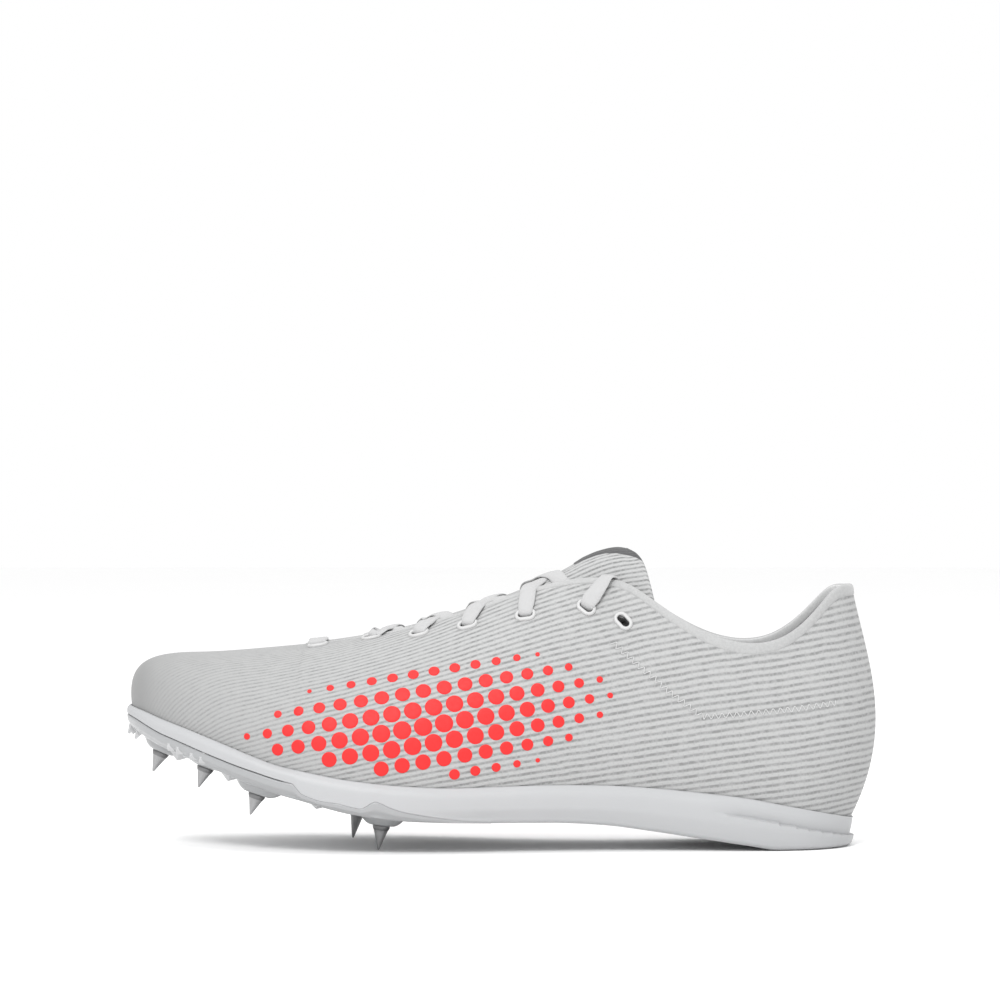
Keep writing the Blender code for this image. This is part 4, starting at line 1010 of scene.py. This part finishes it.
def foam_side(t, side, plated):
    x = float(LAST(side_t(t, side))[0])
    zf, zb, sh = float(rim_z(x)), float(base_z(x)), float(shoulder(x))
    zs = float(edge_seen(x))
    band = zf - (zs if plated else zb)
    sd = min(4.6, 0.6 * band)
    line = [(-RIM_EDGE, zf - RIM_DEPTH), (-RIM_EDGE, zf - 1.0), (-RIM_EDGE, zf), (0.0, zf)]
    if plated:
        wall = [(0.0, zf), (0.62 * sh, zf - 0.35 * sd), (0.93 * sh, zf - 0.7 * sd), (sh, zf - sd), (sh, zs + 0.3)]
        zz = np.linspace(zf - 0.3, zs + 0.25, 26)
    else:
        full = zf - sd - zb
        wall = [
            (0.0, zf), (0.62 * sh, zf - 0.35 * sd), (0.93 * sh, zf - 0.7 * sd), (sh, zf - sd),
            (0.85 * sh, zf - sd - 0.42 * full), (0.1 * sh, zb + 2.6), (-0.5, zb + 1.2),
        ]
        zz = np.linspace(zf - 0.3, zb + 1.2, 26)
    wz = np.array([p[1] for p in wall])[::-1]
    wo = np.array([p[0] for p in wall])[::-1]
    oo = np.interp(zz, wz, wo)
    oo = np.convolve(np.pad(oo, 2, mode="edge"), [0.1, 0.2, 0.4, 0.2, 0.1], "valid")
    fade = np.clip((x - 78) / 10, 0, 1)
    if fade > 0 and not plated:
        dz = zz - np.interp(x, GROOVE_X, GROOVE_Z)
        cut = np.where(dz > 0, 1.75 * np.clip(1 - dz / 7.0, 0, 1), 0.0)
        oo = oo - cut * fade
    if plated:
        # The wall draws in to the sole's underside where the plate runs out.
        u = float(np.clip((x + 40) / 35, 0, 1))
        full = zf - sd - zb
        bare = np.interp(
            zz,
            [zb + 1.2, zb + 2.6, zf - sd - 0.42 * full, zf - sd, zf - 0.7 * sd, zf - 0.35 * sd, zf],
            [-0.5, 0.1 * sh, 0.85 * sh, sh, 0.93 * sh, 0.62 * sh, 0.0],
        )
        bare = np.convolve(np.pad(bare, 2, mode="edge"), [0.1, 0.2, 0.4, 0.2, 0.1], "valid")
        oo = oo * (1 - u) + bare * u
    line += list(zip(oo, zz))
    if plated:
        line += [(oo[-1] - 0.35, zs), (-PLATE_WALL, zs)]
        low = [(-PLATE_WALL - GAP, PLATE_FLOOR + GAP)]
    else:
        line += [(-1.2, zb + 0.5)]
        low = [(-2.0, 0.1), (-PLATE_WALL - GAP, 0.0)]
    return [sole_point(t, side, o, z) for o, z in line] + [under_point(t, side, o, lift) for o, lift in low]


def closed_loft(name, rings, mats, nodes, sharp=40, attrs=None):
    R = np.array(rings)
    rows, cols = R.shape[:2]
    faces = [*grid_faces(rows, cols, wrap_cols=True), np.arange(cols)[::-1], np.arange(cols) + (rows - 1) * cols]
    obj = piece(name, R, faces, mats, attrs, None, nodes)
    weld(obj, 0.004)
    if sharp:
        obj.data.set_sharp_from_angle(angle=math.radians(sharp))
    return obj


def sole_stations(count, extra=()):
    return spread_sections(count, extra)


def build_sole():
    step = t_at_x(PLATE_REAR_X + 3 * GAP, -1)
    marks = [t_at_x(row[0], -1) for row in EDGES]
    ts = sole_stations(230, [step - 0.02, step + 0.02, t_at_x(HEEL_FLAT_FRONT, -1), *marks[1:-1]])
    rings = []
    for t in ts:
        plated = t > step
        lat, med = (foam_side(t, side, plated) for side in (-1, 1))
        ring = [*lat[::-1], *across(lat[0], med[0], 5), *med, *across(med[-1], lat[-1], 3)]
        rings.append(np.array(ring))
    closed_loft("midsole_foam_body", rings, [MAT_FOAM], ["midsole"], 50)
    # Spike plate.
    rear = t_at_x(PLATE_REAR_X + 2.7 * GAP, -1)
    rings = []
    for t in [rear, *[a for a in ts if a > rear + 0.8]]:
        sides = []
        for side in (-1, 1):
            x = float(LAST(side_t(t, side))[0])
            zb, sh, zs = float(base_z(x)), float(shoulder(x)), float(edge_seen(x)) - seam_gap(x)
            proud = float(np.interp(x, [-80, -74, -30, -8], [0.0, 0.14, 0.1, 0.0]))
            high = zs - zb
            u = float(np.clip((x + 40) / 35, 0, 1))
            sh = sh * (1 - u) + (-0.35) * u + proud
            outs = [(-PLATE_WALL, zs), (sh - 0.55, zs), (sh - 0.22, zs - 0.04 * high), (sh - 0.06, zs - 0.12 * high)]
            zz = zb + high * np.linspace(0.82, 0.24, 9)
            oo = np.interp(zz, [zb + 0.22 * high, zb + 0.5 * high, zs - 0.12 * high], [min(0.25, sh - 0.2), sh - 0.22, sh - 0.06])
            outs += list(zip(oo, zz))
            low_h = min(0.62, 0.16 * high)
            low = [(min(0.0, sh - 0.3), low_h), (-0.6 - 0.4 * u, 0.6 * low_h), (-1.2 - 0.4 * u, 0.3 * low_h), (-2.2, 0.06), (-PLATE_WALL - GAP, 0.0)]
            sides.append(
                [under_point(t, side, -PLATE_WALL, min(PLATE_FLOOR, 0.9 * high))]
                + [sole_point(t, side, o, z) for o, z in outs]
                + [under_point(t, side, o, lift) for o, lift in low]
            )
        lat, med = sides
        rings.append(np.array([*lat[::-1], *across(lat[0], med[0], 3), *med, *across(med[-1], lat[-1], 9)]))
    closed_loft("plate_tray", rings, [MAT_PLATE_SHADED], ["spike_plate"], 38)


def ovals(p, n, sizes, count, turn=0.0):
    along_x = np.array([1.0, 0, 0]) - n * n[0]
    along_x /= np.linalg.norm(along_x)
    side = np.cross(n, along_x)
    c, s = math.cos(turn), math.sin(turn)
    d, e = along_x * c + side * s, side * c - along_x * s
    k = 2 * np.pi * np.arange(count) / count
    return np.array([p + n * h + np.outer(np.cos(k), d) * a + np.outer(np.sin(k), e) * b for h, a, b in sizes])


def merged(name, blocks, mat, nodes=(), sharp=40, attrs=None):
    """Several stacks of rings as one piece."""
    verts, faces, base = [], [], 0
    for R in blocks:
        rows, cols = R.shape[:2]
        verts.append(R.reshape(-1, 3))
        faces += [tuple(f) for f in grid_faces(rows, cols, wrap_cols=True, base=base)]
        faces += [tuple(np.arange(cols)[::-1] + base), tuple(np.arange(cols) + base + (rows - 1) * cols)]
        base += rows * cols
    obj = piece(name, np.concatenate(verts), faces, [mat], attrs, None, nodes)
    bm = bmesh.new()
    bm.from_mesh(obj.data)
    bmesh.ops.recalc_face_normals(bm, faces=bm.faces)
    bm.to_mesh(obj.data)
    bm.free()
    obj.data.set_sharp_from_angle(angle=math.radians(sharp))
    return obj


def build_studs():
    pads = []
    for name, x, y, long, wide, high in PINS:
        p, n = plate_slope(x, y)
        sizes = []
        for k in range(15):
            u = k / 14
            # Spreads out at its foot and rounds over at its top.
            r = 1.16 - 0.42 * u**0.9 - 0.14 * u**6
            sizes.append((-0.9 + (high + 0.9) * u, long * r, wide * r))
        sizes += [(high + 0.02, (long - 3.2) * 0.96, (wide - 2.2) * 0.96), (high + 0.05, 3.0, 3.0)]
        pads.append(ovals(p, n, sizes, 40))
    merged("plate_bosses", pads, MAT_PLATE_SHADED, (), 35)
    teeth = []
    for x, y, long, wide, high, turn in TEETH:
        p, n = plate_slope(x, y)
        teeth.append(ovals(p, n, [(-0.8, long, wide), (0.0, long * 0.94, wide * 0.94), (high - 0.12, 0.5, 0.42), (high, 0.25, 0.2)], 4, math.radians(turn)))
    # Small upright facets on the plate's edge, between the front pins.
    for side in (-1, 1):
        for x, up, half_x, half_z in ((-121.4, 2.7, 1.7, 2.2), (-118.0, 2.8, 1.6, 2.2), (-112.7, 2.8, 1.7, 2.1), (-109.2, 3.0, 1.6, 2.1)):
            t = t_at_x(x, side)
            out = outward(t, side)
            xx = float(LAST(side_t(t, side))[0])
            p = sole_point(t, side, 1.0, float(base_z(xx)) + up)
            n = unit(np.array([out[0], out[1], -0.25]))
            d = unit(np.cross(n, [0, 0, 1.0]))
            e = np.cross(d, n)
            rings = []
            for h, r in ((-1.4, 1.1), (0.0, 1.0), (0.95, 0.1), (1.0, 0.05)):
                rings.append([p + n * h + d * half_x * r * a + e * half_z * r * b for a, b in ((-1, -1), (1, -1), (1, 1), (-1, 1))])
            teeth.append(np.array(rings))
    merged("plate_teeth", teeth, MAT_TEETH_LIT, (), 20)


def build_pin_skins():
    for name, x, y, long, wide, high in PINS:
        p, n = plate_slope(x, y)
        start = high + GAP
        reach = PIN_FLANGE_H + PIN_CONE_H - GAP
        if name.startswith("rear"):
            reach = pin_reach_to_ground(p, n, start)
        tip = start + reach
        prof = [
            (high - 1.2, 1.9), (start - 0.25, 1.9), (start - 0.2, 3.1), (start, PIN_FLANGE_R), (start + 0.5, PIN_FLANGE_R),
            (start + 1.5, PIN_FLANGE_R - 0.42), (start + 1.7, 2.62),
        ]
        for k in range(1, 9):
            u = k / 8
            prof.append((start + 1.7 + (tip - start - 2.05) * u, 2.62 + (0.42 - 2.62) * u**0.95))
        prof += [(tip - 0.16, 0.3), (tip - 0.04, 0.16), (tip, 0.03)]
        R = ovals(p, n, [(h, r, r) for h, r in prof], 28)
        seat = np.repeat([[1.0 if h < start + 1.55 else 0.0] for h, r in prof], 28, 1)
        merged(f"pin_skin_{name}", [R], MAT_STEEL, [f"pin_{name}"], 32, {"seat": seat})


def build_liner_skin():
    ts = spread_sections(120)[2:-2]
    rings = []
    for t in ts:
        sides = []
        for side in (-1, 1):
            inset = UPPER_INSET + WALL + 0.5
            low = GAP + 0.15
            pts = [(-inset - 0.5, low), (-inset - 0.1, low + 0.4), (-inset, low + 1.2), (-inset - 0.1, low + LINER_T - 0.7), (-inset - 0.5, low + LINER_T - 0.15), (-inset - 1.1, low + LINER_T)]
            sides.append([dish_point(t, side, o, h) for o, h in pts])
        lat, med = sides
        top = across(lat[-1], med[-1], 22)
        # The top dips a little along its middle, to the shape of a foot.
        for k, q in enumerate(top):
            u = (k + 1) / 23
            q[2] -= 0.5 * math.sin(math.pi * u)
        rings.append(np.array([*lat, *top, *med[::-1], *across(med[0], lat[0], 3)]))
    closed_loft("liner_skin", rings, [MAT_LINER], ["sock_liner"], 60)


# ---------------------------------------------------------------- rings and laces
def build_ring_skins(tree):
    for k, row in enumerate(RINGS, 1):
        for side, word in ((-1, "outer"), (1, "inner")):
            p, n, d, e = ring_frame(row, side)
            prof = [
                (SLOT_L, SLOT_W, -1.7), (SLOT_L, SLOT_W, -0.3), (SLOT_L, SLOT_W, 0.55), (SLOT_L + 0.25, SLOT_W + 0.25, 0.8), (SLOT_L + 0.75, SLOT_W + 0.75, 0.93),
                (RING_L - 1.0, RING_W - 1.0, 0.93), (RING_L - 0.45, RING_W - 0.45, 0.78), (RING_L - 0.12, RING_W - 0.12, 0.45),
                (RING_L, RING_W, 0.05), (RING_L - 0.3, RING_W - 0.3, -0.15), (SLOT_L + 0.9, SLOT_W + 0.9, -0.2), (SLOT_L + 0.9, SLOT_W + 0.9, -1.7),
            ]
            loops = []
            for long, wide, h in prof:
                line = []
                for a, b in oval(long, wide, 40):
                    q = p + d * a + e * b
                    drop = (a * a + b * b) / (2 * 70)
                    line.append(q - n * drop + n * h)
                loops.append(line)
            R = np.array(loops)
            # Marks the slot's inner wall, below the ring's face, for painted shade.
            slot_shade = np.repeat([[1.0 if h < 0 and long < SLOT_L + 0.1 else 0.0] for long, wide, h in prof], 40, 1)
            faces = list(grid_faces(len(R), R.shape[1], wrap_rows=True, wrap_cols=True))
            if k == len(RINGS):
                faces.append(np.arange(40))  # the padding behind the cloth closes an empty ring
            obj = piece(f"ring_skin_{word}_{k}", R, faces, [MAT_RING], {"slot_shade": slot_shade}, None, [f"lace_ring_{word}_{k}"])
            weld(obj, 0.001)


def band(points, normals, width, thick, count):
    """Rings of a flat woven lace along points, with rounded edges, and its two coordinates."""
    p, n = smooth_line(points, count), smooth_line(normals, count)
    d = unit(np.gradient(p, axis=0))
    n = unit(n - d * np.sum(n * d, axis=1, keepdims=True))
    e = np.cross(d, n)
    prof = [(-0.5, 0.0), (-0.47, -0.3), (-0.42, -0.48), (-0.2, -0.5), (0, -0.5), (0.2, -0.5), (0.42, -0.48), (0.47, -0.3), (0.5, 0.0), (0.47, 0.3), (0.42, 0.48), (0.2, 0.5), (0, 0.5), (-0.2, 0.5), (-0.42, 0.48), (-0.47, 0.3)]
    wide = np.broadcast_to(np.asarray(width, float), (count,))
    curl = 0.3
    R = np.array([[p[i] + e[i] * a * wide[i] + n[i] * (b * thick - curl * (2 * a) ** 2) for a, b in prof] for i in range(count)])
    s = np.concatenate([[0], np.cumsum(np.linalg.norm(np.diff(p, axis=0), axis=1))])
    along_v = np.repeat(s[:, None], len(prof), 1)
    across_v = np.array([[a * wide[i] for a, b in prof] for i in range(count)])
    return R, along_v, across_v, s[-1]


LACE_LENGTH = []


def lace_piece(name, bands, nodes):
    blocks = [b[0] for b in bands]
    attrs = {
        "along": np.concatenate([b[1].ravel() for b in bands]),
        "across": np.concatenate([b[2].ravel() for b in bands]),
    }
    LACE_LENGTH.append(sum(b[3] for b in bands))
    return merged(name, blocks, MAT_LACE, nodes, 60, attrs)


CROSSING = ("near", "far")
CROSSINGS = [(0.20, 0.66), (0.24, 0.70), (0.22, 0.72), (0.12, 0.72)]


def cross_band(k, side, tongue):
    row, nxt = RINGS[k], RINGS[k + 1]
    p, n, d, e = ring_frame(row, side)
    t0, v0 = find_on_upper(row[0], row[1], -1)
    t1, v1 = find_on_upper(nxt[0], nxt[1], -1)
    f_near, f_far = CROSSINGS[k - 1]
    near_t, far_t = t0 + (t1 - t0) * f_near, t0 + (t1 - t0) * f_far
    near_n = rib_normal(near_t, side, 0.98)
    near = edge_point(near_t, side, 0.0) + near_n * 1.15 * (0.62 if k == 1 else 0.85 if k == 2 else 1.0)
    far_edge = edge_point(far_t, -side, 0.0)
    m = rib_normal(far_t, -side, 0.98)
    over = 1.0 if (side > 0) == (k % 2 == 0) else 0.0
    pts, nrm = [], []
    for u in (0.28, 0.42, 0.5, 0.58, 0.72, 0.88):
        q = near + (far_edge - near) * u
        hit, hn, _, _ = tongue.ray_cast(Vector((q[0], q[1], 140)), Vector((0, 0, -1)))
        hn = np.array(hn) if hit is not None else np.array([0, 0, 1.0])
        hn = hn if hn[2] > 0 else -hn
        base = np.array(hit) if hit is not None else q
        base = base + hn * (0.55 + over * math.exp(-(((u - 0.5) / 0.22) ** 2)))
        # Near its own edge the lace still comes down from the facing.
        lift = max(0.0, 1 - u / 0.42) * 0.9
        pts.append(base + hn * lift)
        nrm.append(hn)
    over_way = unit(near - far_edge)
    under = far_edge - over_way * 0.4 - m * (SKIN + 0.75)
    tuck = far_edge - over_way * 4.0 - m * (SKIN + 1.0)
    up_way = unit(near - p)
    far_off = float(np.linalg.norm(near - p))
    start = [p - n * 1.3 - up_way * 0.3, p + n * 0.5 + up_way * 0.1, p + n * 1.3 + up_way * min(1.9, 0.3 * far_off)]
    start_n = [unit(n - up_way * 1.2), unit(n - up_way * 0.6), unit(n - up_way * 0.1)]
    if far_off > 6.5:
        start.append(p + (near - p) * 0.58 + 0.5 * (n + near_n) * 0.95)
        start_n.append(unit(n + near_n))
    start.append(near)
    start_n.append(near_n)
    pts = [*start, *pts, under, tuck]
    nrm = [*start_n, *nrm, m, m]
    width = np.interp(np.linspace(0, 1, 64), [0, 0.05, 0.13, 0.8, 1], [4.6, 5.0, 6.1, 6.0, 5.6])
    return band(pts, nrm, width, 0.85, 64)


def build_lace_skins(tongue):
    a, b = (ring_frame(RINGS[0], side) for side in (-1, 1))
    way = unit(b[0] - a[0])
    mid = (a[0] + b[0]) / 2 + np.array([0, 0, 1.75])
    up = np.array([0.03, 0, 1.0])
    pts = [
        a[0] - a[1] * 1.3 + way * 0.1, a[0] + a[1] * 0.5 + way * 0.1, a[0] + a[1] * 1.5 + way * 1.2, a[0] + a[1] * 1.6 + way * 4.0, mid,
        b[0] + b[1] * 1.6 - way * 4.0, b[0] + b[1] * 1.5 - way * 1.2, b[0] + b[1] * 0.5 - way * 0.1, b[0] - b[1] * 1.3 - way * 0.1,
    ]
    nrm = [unit(a[1] - way * 1.5), unit(a[1] - way), unit(a[1] - way * 0.2), a[1], up, b[1], unit(b[1] + way * 0.2), unit(b[1] + way), unit(b[1] + way * 1.5)]
    width = np.interp(np.linspace(0, 1, 52), [0, 0.05, 0.13, 0.87, 0.95, 1], [5.2, 6.0, 7.3, 7.3, 6.0, 5.2])
    lace_piece("lace_skin_bar", [band(pts, nrm, width, 1.15, 52)], ["lace_bar"])
    for k in range(1, 5):
        lace_piece(f"lace_skin_cross_{k}", [cross_band(k, side, tongue) for side in (-1, 1)], [f"lace_cross_{k}"])
    for side, word in ((-1, "outer"), (1, "inner")):
        p, n, d, e = ring_frame(RINGS[5], side)
        t1 = t_at_x(40.5, -1)
        m = rib_normal(t1, side, 0.98)
        top = edge_point(t1, side, 0.0) + m * 1.3
        up_way = unit(top - p)
        inner = np.array([top[0] + 2.0, top[1] - side * 2.4, top[2] + 0.1])
        over = np.array([top[0] + 3.4, top[1] - side * 3.6, top[2] - 2.0])
        down = np.array([top[0] + 4.2, top[1] - side * 3.7, top[2] - 6.0])
        pts = [p - n * 1.3 - up_way * 0.3, p + n * 0.45 + up_way * 0.2, p + n * 1.5 + up_way * 1.9, 0.5 * (p + top) + n * 1.1, top, inner, over, down]
        nrm = [unit(n - up_way * 1.2), unit(n - up_way * 0.5), n, n, unit(m + np.array([0, 0, 0.3])), unit(np.array([0.3, 0, 1.0]) - 0.3 * side * np.array([0, 1, 0])), unit(-m + np.array([0.7, 0, 0.7])), unit(-m + np.array([0.5, 0, 0.1]))]
        width = np.interp(np.linspace(0, 1, 50), [0, 0.07, 0.2, 1], [4.8, 5.2, 6.4, 6.2])
        lace_piece(f"lace_skin_end_{word}", [band(pts, nrm, width, 0.85, 50)], [f"lace_end_{word}"])


# ---------------------------------------------------------------- print and stitches
DOT_FIELD = ("x", "z", "half_long", "half_high", "slant")
FIELD = (-28.0, 46.5, 70.0, 24.0, -0.16)


def build_dots(tree):
    """Graduated round dots of thin print over the flank: large in the middle, fine at the ends."""
    x0, z0, a, b, slant = FIELD
    verts, faces = [], []
    for side in (-1, 1):
        for j in range(-5, 6):
            for i in range(-11, 12):
                x = x0 + (i + 0.5 * (j % 2)) * 7.6
                z = z0 + j * 6.4 + slant * (x - x0) * -1.0
                q = ((x - x0) / a) ** 2 + (((z - z0) + slant * (x - x0)) / b) ** 2
                if q > 1:
                    continue
                r = 0.75 + 2.55 * (1 - q) ** 0.7
                hit, n = on_side(tree, x, z, side)
                if hit is None:
                    continue
                feather = float(rim_z(x))
                if z - r * 1.1 < feather + 2.5:
                    continue
                e = unit(np.cross(n, [0, 0, 1.0]))
                f = np.cross(e, n)
                base = len(verts)
                ring_pts, ok = [], True
                count = 22
                for out, lift in ((0.0, 0.30), (0.5, 0.30), (0.9, 0.29), (1.0, 0.2), (1.03, 0.0)):
                    for k in range(count):
                        if out == 0.0 and k:
                            continue
                        ang = 2 * math.pi * k / count
                        target = hit + e * (r * out * math.cos(ang)) + f * (r * out * math.sin(ang))
                        near, nn, _, _ = tree.ray_cast(Vector(target + n * 4), Vector(-n), 9)
                        if near is None:
                            ok = False
                            break
                        ring_pts.append(np.array(near) + n * lift)
                    if not ok:
                        break
                if not ok:
                    continue
                verts += ring_pts
                rim = [base + 1 + k for k in range(count)]
                faces += [(base, rim[k], rim[(k + 1) % count]) for k in range(count)]
                for lap in range(3):
                    o = base + 1 + lap * count
                    faces += [(o + k, o + count + k, o + count + (k + 1) % count, o + (k + 1) % count) for k in range(count)]
    obj = piece("coral_dots", np.array(verts), faces, [MAT_CORAL])
    bm = bmesh.new()
    bm.from_mesh(obj.data)
    bmesh.ops.recalc_face_normals(bm, faces=bm.faces)
    for f in list(bm.faces)[:1]:
        pass
    bm.to_mesh(obj.data)
    bm.free()


STITCH = ("x", "z")
STITCHES = [(41.3, 76.8), (46.6, 72.2), (52.6, 66.8), (57.2, 63.3), (61.0, 59.5), (74.3, 49.6), (86.0, 50.2), (100.0, 51.4), (112.0, 52.6), (124.5, 54.4)]


def tube(points, radius, sides=6):
    p = np.asarray(points)
    d = unit(np.gradient(p, axis=0))
    ref = np.array([0.0, 0.0, 1.0])
    a = unit(np.cross(d, ref) + 1e-6)
    b = np.cross(d, a)
    k = 2 * np.pi * np.arange(sides) / sides
    return p[:, None] + radius * (np.cos(k)[None, :, None] * a[:, None] + np.sin(k)[None, :, None] * b[:, None])


def build_stitches(tree):
    blocks = []
    for side in (-1, 1):
        xs, zs = column(STITCHES, STITCH, "x"), column(STITCHES, STITCH, "z")
        s = np.concatenate([[0], np.cumsum(np.hypot(np.diff(xs), np.diff(zs)))])
        n = int(s[-1] / 1.35)
        pts = []
        for k in range(n + 1):
            q = k / n * s[-1]
            x, z = np.interp(q, s, xs), np.interp(q, s, zs)
            x2, z2 = np.interp(q + 0.4, s, xs), np.interp(q + 0.4, s, zs)
            way = unit(np.array([x2 - x, z2 - z]) + 1e-6)
            off = 1.15 if k % 2 else -1.15
            pts.append((x - way[1] * off, z + way[0] * off))
        for a, b in zip(pts, pts[1:]):
            line = []
            for u in np.linspace(0.06, 0.94, 6):
                x, z = a[0] + (b[0] - a[0]) * u, a[1] + (b[1] - a[1]) * u
                hit, nn = on_side(tree, x, z, side)
                if hit is None:
                    break
                line.append(hit + nn * (0.10 + 0.16 * math.sin(math.pi * u)))
            if len(line) == 6:
                blocks.append(tube(line, 0.17))
    merged("heel_stitches", blocks, MAT_THREAD)


def build_stage():
    mesh = bpy.data.meshes.new("floor")
    s = 6.0
    mesh.from_pydata([(-s, -s, 0), (s, -s, 0), (s, s, 0), (-s, s, 0)], [], [(0, 1, 2, 3)])
    n = Nodes("floor_paint")
    shade = n.mix(n.noise(3.0, 2.0), (0.975, 0.975, 0.975), (0.985, 0.985, 0.985))
    mesh.materials.append(n.finish(shade, 0.95))
    floor = bpy.data.objects.new("floor", mesh)
    bpy.context.scene.collection.objects.link(floor)
    floor.location.z = -0.0002
    world = bpy.data.worlds.new("studio")
    bpy.context.scene.world = world
    world.use_nodes = True
    back = world.node_tree.nodes["Background"]
    back.inputs["Color"].default_value = (1, 1, 1, 1)
    back.inputs["Strength"].default_value = 1.0
    for name, where, size, power in (
        ("top_panel", (0.05, 0.1, 1.6), 1.5, 9.0),
        ("key_panel", (-0.3, -1.3, 1.25), 0.5, 18.0),
    ):
        light = bpy.data.lights.new(name, "AREA")
        light.shape = "SQUARE"
        light.size = size
        light.energy = power
        lamp = bpy.data.objects.new(name, light)
        lamp.location = where
        lamp.rotation_euler = (Vector((0, 0, 0.05)) - Vector(where)).to_track_quat("-Z", "Y").to_euler()
        bpy.context.scene.collection.objects.link(lamp)
    camera = bpy.data.cameras.new("camera")
    camera.sensor_width = 36.0
    camera.lens = 140.98
    camera.clip_end = 30.0
    camera.dof.use_dof = False
    eye = bpy.data.objects.new("camera", camera)
    eye.location = (ROW_SHIFT_X * MM, -1.470, 0.1291)
    eye.rotation_euler = (math.radians(90), 0, 0)
    bpy.context.scene.collection.objects.link(eye)
    bpy.context.scene.camera = eye
    bpy.context.scene.view_settings.view_transform = "Standard"
    bpy.context.scene.view_settings.look = "None"


P, upper_faces = build_upper_skin()
TREE = tree_of(P, grid_faces(P.shape[0], P.shape[1], wrap_rows=True))
build_binding()
TONGUE = build_tongue_skin()
build_sole()
build_studs()
build_pin_skins()
build_liner_skin()
build_ring_skins(TREE)
build_lace_skins(TONGUE)
build_dots(TREE)
build_stitches(TREE)
build_stage()
